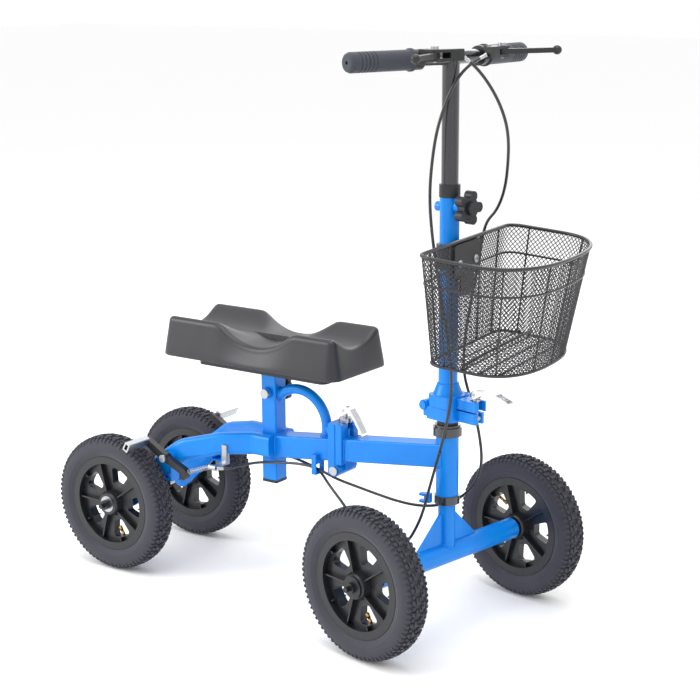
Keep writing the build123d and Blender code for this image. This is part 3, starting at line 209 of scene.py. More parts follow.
# %% Moulded plastics
moulded_nylon, tree, shader, coordinates = new_finish("moulded_nylon", IOR=1.53, Specular_IOR_Level=0.45)
spark = noise(tree, coordinates, 0.9, 2.0)
colour_by(tree, shader, spark, "#15161a", "#24252a")
rough_by(tree, shader, spark, 0.36, 0.52)
bump_by(tree, shader, spark, 0.2, 0.1)

glass_filled_nylon, tree, shader, coordinates = new_finish("glass_filled_nylon", IOR=1.53)
flow = noise(tree, coordinates, 14, 5.0, Distortion=1.2)
colour_by(tree, shader, flow, "#131417", "#1e1f24")
rough_by(tree, shader, flow, 0.28, 0.42)
bump_by(tree, shader, flow, 0.08, 0.2)
print("made", moulded_nylon.name, "and", glass_filled_nylon.name)

# %% [markdown]
# ## Rubber, moulded foam and cable skin
# Tyre rubber holds carbon black, so it is a dull bluish grey with almost no mirror. The grips are softer
# rubber. The pad is polyurethane foam whose skin forms in the mould: it has the satin of fine leather, with a
# pebble grain near a millimetre. The cable housing is smooth extruded PVC, which shines like a wet line, and
# the basket's wire has been dipped in vinyl.

# %% Rubbers
vulcanised_rubber, tree, shader, coordinates = new_finish(
    "vulcanised_rubber", IOR=1.52, Specular_IOR_Level=0.35, Sheen_Weight=0.12, Sheen_Roughness=0.5
)
bloom = noise(tree, coordinates, 18, 6.0)
colour_by(tree, shader, bloom, "#2c2c34", "#3b3b46")
rough_by(tree, shader, bloom, 0.55, 0.75)
bump_by(tree, shader, noise(tree, coordinates, 0.8, 2.0), 0.2, 0.15)

grip_rubber, tree, shader, coordinates = new_finish(
    "grip_rubber", IOR=1.52, Specular_IOR_Level=0.3, Sheen_Weight=0.2, Sheen_Roughness=0.4
)
stipple = pebbles(tree, coordinates, 1.6)
colour_by(tree, shader, stipple, "#33363e", "#43474f")
rough_by(tree, shader, stipple, 0.6, 0.8)
bump_by(tree, shader, stipple, 0.3, 0.2)
print("made", vulcanised_rubber.name, "and", grip_rubber.name)

# %% Integral-skin polyurethane
integral_skin_foam, tree, shader, coordinates = new_finish(
    "integral_skin_foam", IOR=1.5, Sheen_Weight=0.1, Sheen_Roughness=0.35, Coat_Weight=0.15, Coat_Roughness=0.35
)
tint = noise(tree, coordinates, 45, 3.0)
colour_by(tree, shader, tint, "#1c1c21", "#25252b")
rough_by(tree, shader, tint, 0.36, 0.46)
bump_by(tree, shader, pebbles(tree, coordinates, 1.3), 0.18, 0.12)
print("made", integral_skin_foam.name)

# %% Cable housing and wire dip
extruded_pvc, tree, shader, coordinates = new_finish(
    "extruded_pvc", IOR=1.54, Coat_Weight=0.3, Coat_Roughness=0.1
)
draw_marks = noise(tree, coordinates, 9, 4.0)
colour_by(tree, shader, draw_marks, "#101114", "#1b1c20")
rough_by(tree, shader, draw_marks, 0.22, 0.36)

vinyl_dip, tree, shader, coordinates = new_finish("vinyl_dip", IOR=1.53, Coat_Weight=0.2, Coat_Roughness=0.2)
runs = noise(tree, coordinates, 6, 3.0)
colour_by(tree, shader, runs, "#131418", "#202126")
rough_by(tree, shader, runs, 0.3, 0.45)
print("made", extruded_pvc.name, "and", vinyl_dip.name)

# %% [markdown]
# ## Bare metals
# The bolts and springs are zinc-plated steel, whose dull crystals break up the mirror. The quick-release
# levers are chromed, so they are nearly a mirror, with faint smears. The brake bars are brushed aluminium:
# the brush runs along the bar, so noise stretched along it gives the lines. The valve stems are turned brass.

# %% Metals
zinc_plated_steel, tree, shader, coordinates = new_finish("zinc_plated_steel", Metallic=1.0)
crystal = noise(tree, coordinates, 2.5, 4.0)
colour_by(tree, shader, crystal, "#9b9ea3", "#c6c8cb")
rough_by(tree, shader, crystal, 0.24, 0.4)

chromed_steel, tree, shader, coordinates = new_finish("chromed_steel", Metallic=1.0)
smear = noise(tree, coordinates, 12, 5.0)
colour_by(tree, shader, smear, "#b9bcc1", "#dcdee1")
rough_by(tree, shader, smear, 0.1, 0.22)

brushed_aluminium, tree, shader, coordinates = new_finish("brushed_aluminium", Metallic=1.0)
along_bar = add_node(tree, "ShaderNodeMapping", Vector=coordinates, Scale=(1.0, 0.06, 1.0))
brush = noise(tree, along_bar.outputs["Vector"], 0.7, 3.0)
colour_by(tree, shader, brush, "#a9abae", "#c9cbcd")
rough_by(tree, shader, brush, 0.28, 0.44)
bump_by(tree, shader, brush, 0.15, 0.1)

turned_brass, tree, shader, coordinates = new_finish("turned_brass", Metallic=1.0)
tarnish = noise(tree, coordinates, 3, 4.0)
colour_by(tree, shader, tarnish, "#a87f3e", "#d3ad63")
rough_by(tree, shader, tarnish, 0.22, 0.38)
print("made 4 metals")

# %% [markdown]
# ## Finishes on the solid parts
# Each solid part has a paint slot in the record, so most finishes follow it. A few parts share a slot but not
# a finish: the bar and the headset rings are enamelled, while the brackets beside them are powder-coated.

# %% Give each solid part its finish
FINISH_OF_SLOT = {
    "blue_paint": azure_powder_coat,
    "black_paint": black_powder_coat,
    "tyre": vulcanised_rubber,
    "rim": glass_filled_nylon,
    "steel": zinc_plated_steel,
    "chrome": chromed_steel,
    "aluminium": brushed_aluminium,
    "plastic": moulded_nylon,
    "grip": grip_rubber,
    "pad": integral_skin_foam,
    "cable": extruded_pvc,
    "wire_mesh": vinyl_dip,
}
ENAMELLED = ("handlebar", "headset_cups")
slot_of_node = {part["node"]: part["material_slot"] for part in frame["record"]["subparts"]}
for name, node in nodes.items():
    finish = black_stove_enamel if name in ENAMELLED else FINISH_OF_SLOT[slot_of_node[name]]
    node.data.materials.clear()
    node.data.materials.append(finish)
print("finished", len(nodes), "solid parts")

# %% [markdown]
# ## Building meshes from rings
# Tubes, wires, beads and cables are all one shape: a small circle carried along a line. The circle has to
# turn with the line without spinning, so each new side direction is the last one with its part along the line
# taken away.

# %% Mesh and tube helpers
def make_piece(name, vertices, faces, finish, smooth=True):
    """New object from points in metres and faces of point numbers."""
    mesh = bpy.data.meshes.new(name)
    mesh.from_pydata([tuple(map(float, point)) for point in vertices], [], [tuple(face) for face in faces])
    mesh.polygons.foreach_set("use_smooth", [smooth] * len(mesh.polygons))
    mesh.materials.append(finish)
    mesh.update()
    piece = bpy.data.objects.new(name, mesh)
    scene.collection.objects.link(piece)
    return piece


def band_faces(rings, around, first=0, closed=False):
    """Faces between neighbouring rings of points; a closed band also joins the last ring to the first."""
    faces = []
    for ring in range(rings if closed else rings - 1):
        here, there = first + ring * around, first + (ring + 1) % rings * around
        for step in range(around):
            beside = (step + 1) % around
            faces.append((here + step, here + beside, there + beside, there + step))
    return faces


def end_faces(rings, around, first=0):
    """Faces that close the first and the last ring."""
    last = first + (rings - 1) * around
    return [tuple(range(first + around - 1, first - 1, -1)), tuple(range(last, last + around))]


def ring_frames(line, closed):
    """Side and upright directions of a circle carried along a line."""
    ahead = np.roll(line, -1, axis=0) - np.roll(line, 1, axis=0)
    if not closed:
        ahead[0] = line[1] - line[0]
        ahead[-1] = line[-1] - line[-2]
    ahead /= np.linalg.norm(ahead, axis=1)[:, None]
    across = np.cross(ahead[0], (0.0, 0.0, 1.0) if abs(ahead[0][2]) < 0.9 else (1.0, 0.0, 0.0))
    sides = []
    for direction in ahead:
        across = across - direction * np.dot(across, direction)
        across /= np.linalg.norm(across)
        sides.append(across.copy())
    return np.array(sides), np.cross(ahead, np.array(sides))


def tube_mesh(line, radius, sides, closed=False, first=0):
    """Points and faces of a tube; radius is one number or one for each point of the line."""
    line = np.array([tuple(point) for point in line], float)
    across, upright = ring_frames(line, closed)
    radii = np.broadcast_to(np.asarray(radius, float), (len(line),))
    turn = np.arange(sides) * 2 * math.pi / sides
    cosines, sines = np.cos(turn)[None, :, None], np.sin(turn)[None, :, None]
    spokes = cosines * across[:, None, :] + sines * upright[:, None, :]
    points = (line[:, None, :] + spokes * radii[:, None, None]).reshape(-1, 3)
    faces = band_faces(len(line), sides, first, closed)
    if not closed:
        faces += end_faces(len(line), sides, first)
    return points, faces


def joined_tubes(name, tubes, finish):
    """One object from several tubes, each given as the arguments of tube_mesh."""
    all_points, all_faces = [], []
    total = 0
    for line, radius, sides, closed in tubes:
        points, faces = tube_mesh(line, radius, sides, closed, first=total)
        all_points.append(points)
        all_faces.extend(faces)
        total += len(points)
    return make_piece(name, np.concatenate(all_points), all_faces, finish)


print("tube helpers ready")

# %% [markdown]
# ## Knobby tyres
# A small pneumatic tyre has a smooth sidewall and a band of moulded blocks. The blocks could be a texture,
# but the jagged outline would be missing, so each block is real. The casing is an outline turned about the
# axle, and a block is a patch of that casing lifted along its normal with sloped, eased sides. Hooked blocks
# run in two staggered rows on the crown, studs fill the space beside them, and long and short blocks
# alternate on the shoulder. One tyre is made and copied to the four wheels, since they came out of one mould,
# and each copy turns with its axle.

# %% Casing outline
CROWN_R = 122.9
TREAD_H = 3.95                # block height on the crown, in mm
CROWN_ARC = 58.0
CROWN_HALF = 20.4
BEAD_R = 88.6
SEAT_R = 82.1                 # the bead's inner face, sunk in the rim
WALL_FOOT = 18.9
WALL_MIDDLE = (104.0, 23.9)
WALL_STATIONS = 22
CROWN_STATIONS = 12
RIDGE_R = 99.5
RIDGE_H = 0.45
RIDGE_SPREAD = 0.8


def arc_through(first, middle, last, count):
    """Points on the circle through three points, from the first to the last."""
    (x1, y1), (x2, y2), (x3, y3) = first, middle, last
    d = 2 * (x1 * (y2 - y3) + x2 * (y3 - y1) + x3 * (y1 - y2))
    squares = [x * x + y * y for x, y in (first, middle, last)]
    cx = (squares[0] * (y2 - y3) + squares[1] * (y3 - y1) + squares[2] * (y1 - y2)) / d
    cy = (squares[0] * (x3 - x2) + squares[1] * (x1 - x3) + squares[2] * (x2 - x1)) / d
    radius = math.hypot(x1 - cx, y1 - cy)
    start = math.atan2(y1 - cy, x1 - cx)
    sweep = (math.atan2(y3 - cy, x3 - cx) - start + math.pi) % (2 * math.pi) - math.pi
    angles = [start + sweep * step / (count - 1) for step in range(count)]
    return [(cx + radius * math.cos(angle), cy + radius * math.sin(angle)) for angle in angles]


def crown_radius(across):
    """Casing radius under the tread."""
    return CROWN_R - (CROWN_ARC - math.sqrt(CROWN_ARC**2 - across**2))


shoulder = (crown_radius(CROWN_HALF), CROWN_HALF)
wall = arc_through((BEAD_R + 1.6, WALL_FOOT), WALL_MIDDLE, shoulder, WALL_STATIONS)
wall = [(r, y + RIDGE_H * math.exp(-(((r - RIDGE_R) / RIDGE_SPREAD) ** 2))) for r, y in wall]
crown = [(crown_radius(y), y) for y in np.linspace(CROWN_HALF, 0, CROWN_STATIONS)[1:]]
bead = [(SEAT_R, 0.0), (SEAT_R, 15.9), (BEAD_R, 16.0), (BEAD_R, 17.6), (BEAD_R + 0.5, WALL_FOOT)]
half_outline = bead + wall + crown
outline = half_outline + [(r, -y) for r, y in reversed(half_outline[1:-1])]
print("casing outline has", len(outline), "points")

# %% Tread blocks
half_line = wall[4:] + crown
tread_line = np.array(half_line + [(r, -y) for r, y in reversed(half_line[:-1])])
steps = np.linalg.norm(np.diff(tread_line, axis=0), axis=1)
tread_s = np.concatenate([[0], np.cumsum(steps)])
tread_s = tread_s[-1] / 2 - tread_s
flow_dir = np.gradient(tread_line, axis=0)
tread_out = np.stack([-flow_dir[:, 1], flow_dir[:, 0]], axis=1)
tread_out /= np.linalg.norm(tread_out, axis=1)[:, None]
order = np.argsort(tread_s)


def on_tread(s, lift):
    """Radius and side distance of a point lifted off the casing, at an arc distance from the middle."""
    base = [np.interp(s, tread_s[order], tread_line[order, axis]) for axis in (0, 1)]
    out = [np.interp(s, tread_s[order], tread_out[order, axis]) for axis in (0, 1)]
    return base[0] + out[0] * lift, base[1] + out[1] * lift


def block_height(s):
    """Tread height: full on the crown and lower on the shoulder."""
    return float(np.interp(abs(s), (0, 15, 20, 26), (TREAD_H, TREAD_H - 0.1, 2.7, 1.2)))


PITCHES = 40
PITCH = 2 * math.pi / PITCHES
BLOCKS = (  # start and end across the tread in mm, then start and end along it in pitches
    (-9.2, -1.4, 0.03, 0.30),
    (-9.2, -5.4, 0.03, 0.60),
    (-3.6, -0.6, 0.44, 0.62),
    (1.4, 9.2, 0.53, 0.80),
    (5.4, 9.2, 0.53, 1.10),
    (0.6, 3.6, 0.94, 1.12),
    (-16.6, -11.0, 0.10, 0.40),
    (-15.4, -11.0, 0.62, 0.86),
    (11.0, 16.6, 0.60, 0.90),
    (11.0, 15.4, 0.12, 0.36),
    (-26.0, -18.2, 0.02, 0.27),
    (-23.2, -18.2, 0.52, 0.76),
    (18.2, 26.0, 0.30, 0.55),
    (18.2, 23.2, 0.80, 1.04),
)
EASE = 0.7                    # sloped edge round each block's top, in mm
ROOT = 0.5                    # how deep a block's foot is sunk in the casing, in mm
BLOCK_LEVELS = (  # inset, and drop from the top; the foot has no drop
    (-0.25, None), (0.1, EASE), (EASE, 0.0),
)
tread_points, tread_faces = [], []
for pitch in range(PITCHES):
    for s0, s1, t0, t1 in BLOCKS:
        base = len(tread_points)
        stations = np.linspace(s0, s1, 4)
        for inset, drop in BLOCK_LEVELS:
            span = np.interp(stations, (s0, s1), (s0 + inset, s1 - inset))
            ends = (t0 * PITCH + inset / CROWN_R, t1 * PITCH - inset / CROWN_R)
            for turn_at, walk in ((ends[0], span), (ends[1], span[::-1])):
                for s in walk:
                    lift = -ROOT if drop is None else block_height(s) - drop
                    radius, side = on_tread(s, lift)
                    angle = pitch * PITCH + turn_at
                    tread_points.append((radius * math.cos(angle), side, radius * math.sin(angle)))
        tread_faces += band_faces(3, 8, base)
        top = base + 16
        for strip in range(3):
            tread_faces.append((top + strip, top + strip + 1, top + 6 - strip, top + 7 - strip))
print("tread blocks", PITCHES * len(BLOCKS))

# %% One tyre, copied to four wheels
TURNS = 160                   # outlines round the casing
BLOCK_CREASE = math.radians(32)
casing_points = []
for turn in range(TURNS):
    angle = turn * 2 * math.pi / TURNS
    for radius, side in outline:
        casing_points.append((radius * math.cos(angle), side, radius * math.sin(angle)))
casing_faces = band_faces(TURNS, len(outline), closed=True)
shift = len(casing_points)
tyre_points = np.array(casing_points + tread_points) * MM
tyre_faces = casing_faces + [tuple(corner + shift for corner in face) for face in tread_faces]
pattern = make_piece("tyre_pattern", tyre_points, tyre_faces, vulcanised_rubber)
tidy = bmesh.new()
tidy.from_mesh(pattern.data)
bmesh.ops.recalc_face_normals(tidy, faces=tidy.faces)
tidy.to_mesh(pattern.data)
tidy.free()
pattern.data.set_sharp_from_angle(angle=BLOCK_CREASE)

AXLE_Z = 127.0
WHEELS = {
    "rear_right": (FRAME, -113.8),
    "rear_left": (FRAME, 113.8),
    "front_right": (FORK, -198.6),
    "front_left": (FORK, 198.6),
}
for wheel, (datum, side) in WHEELS.items():
    cast = pattern.data.copy()
    cast.transform(datum.to_3x3().to_4x4())
    tyre = bpy.data.objects.new(f"tread_{wheel}", cast)
    scene.collection.objects.link(tyre)
    tyre.location = place(datum, 0, side, AXLE_Z)
    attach(tyre, f"wheel_{wheel}")
    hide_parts(f"{wheel}_tyre")
bpy.data.objects.remove(pattern)
print("four tyres of", len(tyre_faces), "faces")

# %% [markdown]
# ## Valve stems
# Each tube has a brass valve that leans out through a window of the rim, on a black rubber foot. It is turned
# from one outline: foot, stem, thread and cap.

# %% Valves
VALVE_OUTLINE = (
    (74.6, 0.2), (74.6, 5.0), (71.5, 4.6), (69.0, 3.2), (68.8, 2.6), (62.0, 2.6), (61.8, 3.0), (61.2, 3.0),
    (61.0, 2.6), (60.2, 3.0), (59.8, 2.6), (59.0, 3.0), (58.6, 2.6), (54.0, 2.6), (53.8, 3.4), (47.0, 3.4),
    (46.2, 2.6), (46.0, 0.2),
)
FOOT_POINTS = 4
VALVE_SIDES = 16
VALVE_ANGLE = {"rear_right": -72, "rear_left": 72, "front_right": -72, "front_left": 144}
VALVE_LEAN = math.radians(14)
STATION_GAP = 0.01            # keeps two radii at one station apart, in mm
for wheel, (datum, side) in WHEELS.items():
    out = math.copysign(1, side)
    angle = math.radians(VALVE_ANGLE[wheel])
    inward = Vector((-math.cos(angle), 0, -math.sin(angle)))
    lean = (inward * math.cos(VALVE_LEAN) + Vector((0, out, 0)) * math.sin(VALVE_LEAN)).normalized()
    foot = Vector((math.cos(angle), 0, math.sin(angle))) * VALVE_OUTLINE[0][0]
    line = [foot + lean * (VALVE_OUTLINE[0][0] - r) for r, _ in VALVE_OUTLINE]
    line = [point + lean * STATION_GAP * index for index, point in enumerate(line)]
    radii = [radius * MM for _, radius in VALVE_OUTLINE]
    hub = datum @ Matrix.Translation((0, side * MM, AXLE_Z * MM))
    scene_line = [hub @ (point * MM) for point in line]
    points, faces = tube_mesh(scene_line, radii, VALVE_SIDES)
    valve = make_piece(f"valve_{wheel}", points, faces, turned_brass)
    valve.data.materials.append(vulcanised_rubber)
    for polygon in valve.data.polygons[: FOOT_POINTS * VALVE_SIDES]:
        polygon.material_index = 1
    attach(valve, f"wheel_{wheel}")
print("four valves")

# %% [markdown]
# ## The moulded kneeling pad
# The pad is one block of foam with a raised ridge along each side. A trough runs along its middle for the
# shin and a wider dip crosses it for the knee, which leaves four soft bumps. Each hollow is a circular arc,
# and the top is the lowest of the ridge, the trough and the dip, blended with a soft minimum so they flow
# into each other. The mesh is built in rings: up the sloped side, over a rolled edge, then inward across the
# top.

# %% Pad surface
PAD_BACK, PAD_FRONT, PAD_HALF = 92.0, 478.0, 82.0
PAD_BOTTOM = 412.4
PAD_RIDGE = 482.5
TROUGH_Z, TROUGH_R = 458.5, 82.0
DIP_X, DIP_Z, DIP_R = 299.0, 450.0, 112.0
ROLL = 10.0
SIDE_SLOPE = 9.5
SOFTNESS = 3.2
PAD_MIDDLE = (PAD_BACK + PAD_FRONT) / 2
PAD_CORNER = 22.0
CORNER_STEPS = 8
LONG_STEPS, SHORT_STEPS = 44, 18
PAD_CREASE = math.radians(60)


def arc_height(distance, lowest, radius):
    """Height of a round hollow at a distance from its middle."""
    reach = min(abs(distance), radius * 0.98)
    return lowest + radius - math.sqrt(radius**2 - reach**2)


def pad_top(x, y):
    """Height of the pad's top."""
    heights = (PAD_RIDGE, arc_height(y, TROUGH_Z, TROUGH_R), arc_height(x - DIP_X, DIP_Z, DIP_R))
    low = min(heights)
    total = sum(math.exp(-(height - low) / SOFTNESS) for height in heights)
    return low - SOFTNESS * math.log(total)


def pad_ring(inset, corner):
    """Rounded rectangle of the pad's plan, drawn in by a distance, as points in order."""
    half_x = (PAD_FRONT - PAD_BACK) / 2 - inset
    half_y = PAD_HALF - inset
    round_r = max(min(corner - inset, half_y - 0.2), 0.3)
    ring = []
    for number, (along, beside) in enumerate(((1, 1), (-1, 1), (-1, -1), (1, -1))):
        cx, cy = along * (half_x - round_r), beside * (half_y - round_r)
        for step in range(CORNER_STEPS + 1):
            turn = math.radians(90 * number + 90 * step / CORNER_STEPS)
            ring.append((cx + round_r * math.cos(turn), cy + round_r * math.sin(turn)))
        count = LONG_STEPS if number % 2 == 0 else SHORT_STEPS
        nx, ny = ((-1, 1), (-1, -1), (1, -1), (1, 1))[number]
        last = ring[-1]
        turn = math.radians(90 * (number + 1))
        goal = (
            nx * (half_x - round_r) + round_r * math.cos(turn),
            ny * (half_y - round_r) + round_r * math.sin(turn),
        )
        for step in range(1, count):
            share = step / count
            ring.append((last[0] + (goal[0] - last[0]) * share, last[1] + (goal[1] - last[1]) * share))
    return [(PAD_MIDDLE + x, y) for x, y in ring]


pad_levels = [(7.0, 0.0), (2.0, 0.0), (0.4, 0.9), (0.0, 2.6), (0.2, 5.0)]
ring_size = len(pad_ring(0.0, PAD_CORNER))
pad_points = []
for inset, rise in pad_levels:
    pad_points += [(x, y, PAD_BOTTOM + rise) for x, y in pad_ring(inset, PAD_CORNER)]
low = PAD_BOTTOM + pad_levels[-1][1]
for share in np.linspace(0.12, 1.0, 8):
    for x, y in pad_ring(SIDE_SLOPE * share, PAD_CORNER):
        pad_points.append((x, y, low + (pad_top(x, y) - ROLL - low) * share))
for degrees in range(15, 91, 15):
    turn = math.radians(degrees)
    for x, y in pad_ring(SIDE_SLOPE + ROLL * (1 - math.cos(turn)), PAD_CORNER):
        pad_points.append((x, y, pad_top(x, y) - ROLL * (1 - math.sin(turn))))
for inset in np.linspace(SIDE_SLOPE + ROLL + 3, PAD_HALF - 1.0, 16):
    pad_points += [(x, y, pad_top(x, y)) for x, y in pad_ring(inset, PAD_CORNER)]
print("pad rings", len(pad_points) // ring_size, "of", ring_size)

# %% Pad mesh
ring_count = len(pad_points) // ring_size
pad_faces = band_faces(ring_count, ring_size) + end_faces(ring_count, ring_size)
knee_pad = make_piece("knee_pad", [place(FRAME, *point) for point in pad_points], pad_faces, integral_skin_foam)
knee_pad.data.set_sharp_from_angle(angle=PAD_CREASE)
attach(knee_pad, "seat")
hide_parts("seat_pad")
print("pad box", [round(value, 3) for value in knee_pad.dimensions])

# %% [markdown]
# ## The wire basket
# The basket is a welded wire frame with a diamond mesh of thin wire on it, all dipped in black vinyl. Its
# plan is square at the back and rounded in front, and it narrows toward the floor. A picture of mesh on a
# sheet would look flat where the wall turns away, so every strand is a real tube. A wall point is a share of
# the way round and a share of the way up, and a strand moves evenly in both, so the diamonds shrink toward
# the floor by themselves.

# %% Basket outline
RIM_HALF, RIM_DEPTH, RIM_Z = 180.0, 191.0, 664.0
FLOOR_HALF, FLOOR_DEPTH = 143.0, 158.0
BASKET_BACK = 26.0
BASKET_H = 178.0
BASKET_TILT = math.radians(4.8)
NOSE_POWER = 2.46             # squareness of the rounded front
STRAIGHT_SHARE = 0.48         # straight part of a side wall, as a share of the depth
BACK_CORNER = 24.0
WIRE_INSET = 3.2


def basket_loop(half, depth, inset, count):
    """Points round the basket's plan at equal steps, starting at the middle of the back."""
    wide, deep, back = half - inset, depth - inset, inset
    straight = depth * STRAIGHT_SHARE
    side = [(back, 0.0), (back, wide - BACK_CORNER)]
    for step in range(1, 9):
        turn = math.radians(90 * step / 8)
        side.append((back + BACK_CORNER * (1 - math.cos(turn)), wide - BACK_CORNER * (1 - math.sin(turn))))
    for step in range(61):
        turn = math.pi / 2 * (1 - step / 60)
        forward = max(math.cos(turn), 0.0) ** (2 / NOSE_POWER)
        across = max(math.sin(turn), 0.0) ** (2 / NOSE_POWER)
        side.append((straight + (deep - straight) * forward, wide * across))
    whole = np.array(side + [(x, -y) for x, y in reversed(side[:-1])])
    lengths = np.concatenate([[0], np.cumsum(np.linalg.norm(np.diff(whole, axis=0), axis=1))])
    marks = np.linspace(0, lengths[-1], count, endpoint=False)
    return np.stack([np.interp(marks, lengths, whole[:, axis]) for axis in (0, 1)], axis=1)


def basket_point(forward, across, height):
    """Point of the tilted basket: forward from its back, across, and up from the floor."""
    ahead = BASKET_BACK + forward * math.cos(BASKET_TILT)
    up = RIM_Z - BASKET_H + height - forward * math.sin(BASKET_TILT)
    return place(BASKET, ahead, across, up)


WALL_STEPS = 720
rim_loop = basket_loop(RIM_HALF, RIM_DEPTH, WIRE_INSET, WALL_STEPS)
floor_loop = basket_loop(FLOOR_HALF, FLOOR_DEPTH, WIRE_INSET, WALL_STEPS)


def on_wall(round_share, height):
    """Point of the basket wall at a share of the way round and a height over the floor."""
    mark = (round_share % 1.0) * WALL_STEPS
    low = int(mark) % WALL_STEPS
    high = (low + 1) % WALL_STEPS
    part = mark - int(mark)
    rim = rim_loop[low] * (1 - part) + rim_loop[high] * part
    base = floor_loop[low] * (1 - part) + floor_loop[high] * part
    up = height / BASKET_H
    forward, across = base * (1 - up) + rim * up
    return basket_point(forward, across, height)


print("rim loop width", round(float(rim_loop[:, 1].max() * 2), 1), "mm")

# %% Frame wires
RIM_WIRE, RING_WIRE, BASE_WIRE, STAY_WIRE = 3.0 * MM, 1.9 * MM, 2.6 * MM, 1.6 * MM
BAND_HEIGHT = BASKET_H - 45
BASE_HEIGHT = 2.6
LOOP_STEPS = 180
STAYS = (0.06, 0.135, 0.21, 0.32, 0.42, 0.5, 0.58, 0.68, 0.79, 0.865, 0.94)
frame_wires = []
for height, radius in ((BASKET_H, RIM_WIRE), (BAND_HEIGHT, RING_WIRE), (BASE_HEIGHT, BASE_WIRE)):
    loop = [on_wall(step / LOOP_STEPS, height) for step in range(LOOP_STEPS)]
    frame_wires.append((loop, radius, 10, True))
for share in STAYS:
    stay = [on_wall(share, height) for height in np.linspace(BASE_HEIGHT, BASKET_H, 14)]
    frame_wires.append((stay, STAY_WIRE, 8, False))
basket_wires = joined_tubes("basket_frame_wires", frame_wires, vinyl_dip)
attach(basket_wires, "column")
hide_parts("basket")
print("frame wires", len(frame_wires))

# %% Diamond mesh of the wall
MESH_WIRE = 0.7 * MM
STRANDS = 118
WALL_LEAN = 21.0 / STRANDS     # share of the way round that a strand moves from floor to rim
STRAND_STEPS = 22
wall_strands = []
for strand in range(STRANDS):
    for lean in (-WALL_LEAN, WALL_LEAN):
        line = [
            on_wall(strand / STRANDS + lean * step / STRAND_STEPS, 2 + (BASKET_H - 4) * step / STRAND_STEPS)
            for step in range(STRAND_STEPS + 1)
        ]
        wall_strands.append((line, MESH_WIRE, 5, False))
basket_mesh = joined_tubes("basket_wall_mesh", wall_strands, vinyl_dip)
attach(basket_mesh, "column")
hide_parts("basket")
print("wall strands", len(wall_strands))

# %% Floor of the basket
FLOOR_PITCH = 9.5
floor_shape = np.array([tuple(point) for point in floor_loop])


def floor_span(value, direction):
    """Where a straight floor wire crosses the floor's edge, as a pair of points."""
    normal = np.array([-direction[1], direction[0]])
    offset = floor_shape @ normal - value
    hits = []
    for index in range(WALL_STEPS):
        following = (index + 1) % WALL_STEPS
        if offset[index] * offset[following] < 0:
            part = offset[index] / (offset[index] - offset[following])
            hits.append(floor_shape[index] * (1 - part) + floor_shape[following] * part)
    hits.sort(key=lambda point: float(point @ direction))
    return (hits[0], hits[-1]) if len(hits) > 1 else None


def floor_line(span, height, count):
    """Straight line across the floor at a height."""
    return [basket_point(*(span[0] + (span[1] - span[0]) * share), height) for share in np.linspace(0, 1, count)]


floor_wires = []
for degrees in (40, -40):
    direction = np.array([math.cos(math.radians(degrees)), math.sin(math.radians(degrees))])
    for value in np.arange(-260, 260, FLOOR_PITCH):
        span = floor_span(value, direction)
        if span:
            floor_wires.append((floor_line(span, 2.0, 6), MESH_WIRE, 5, False))
across = np.array([0.0, 1.0])
for value in (-38.0, -66.0, -94.0, -122.0):
    span = floor_span(value, across)
    floor_wires.append((floor_line(span, 5.2, 12), STAY_WIRE, 8, False))
ARCH_BACK, ARCH_HALF, ARCH_RISE = 60.0, 128.0, 26.0
arch = []
for step in range(33):
    turn = math.pi * step / 32
    forward = ARCH_BACK + 30 * math.sin(turn)
    arch.append(basket_point(forward, ARCH_HALF * math.cos(turn), 4 + ARCH_RISE * math.sin(turn) ** 0.8))
floor_wires.append((arch, BASE_WIRE, 8, False))
basket_floor = joined_tubes("basket_floor_mesh", floor_wires, vinyl_dip)
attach(basket_floor, "column")
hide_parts("basket")
print("floor wires", len(floor_wires))

# %% [markdown]
# ## Screws in the basket plate
# Two pan-head screws hold the basket between its plates. Each head is a low dome with a crossed recess, so it
# catches light like the real one. The dome is turned from an outline, and the cross is cut in its middle
# ring.

# %% Basket screws
SCREW_ACROSS = 30.0
SCREW_Z = 628.0
PLATE_FACE = 33.4
SCREW_R, SCREW_H = 7.0, 3.4
HEAD_STEPS = 32
HEAD_RINGS = (  # share of the radius, then share of the height
    (1.0, 0.0), (1.0, 0.25), (0.93, 0.62), (0.72, 0.9), (0.5, 1.0), (0.34, 1.0), (0.3, 0.55), (0.02, 0.5),
)
HARD_CREASE = math.radians(40)


def pan_head(name, centre, outward, body):
    """Domed screw head with a crossed recess, standing on a face."""
    points = []
    for share, rise in HEAD_RINGS:
        for step in range(HEAD_STEPS):
            turn = 2 * math.pi * step / HEAD_STEPS
            cross = abs(math.cos(2 * turn)) ** 3
            reach = SCREW_R * (share if share > 0.4 else share * (0.55 + 0.75 * cross))
            points.append(Vector((reach * math.cos(turn), reach * math.sin(turn), SCREW_H * rise)))
    faces = band_faces(len(HEAD_RINGS), HEAD_STEPS) + end_faces(len(HEAD_RINGS), HEAD_STEPS)
    where = Matrix.Translation(centre) @ outward.to_track_quat("Z", "Y").to_matrix().to_4x4()
    head = make_piece(name, [where @ (point * MM) for point in points], faces, zinc_plated_steel)
    head.data.set_sharp_from_angle(angle=HARD_CREASE)
    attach(head, body)


basket_ahead = BASKET.to_3x3() @ Vector((1, 0, 0))
for number, across_at in enumerate((-SCREW_ACROSS, SCREW_ACROSS)):
    at_plate = place(BASKET, PLATE_FACE, across_at, SCREW_Z)
    pan_head(f"basket_screw_{number}", at_plate, basket_ahead, "column")
print("basket screws", 2)
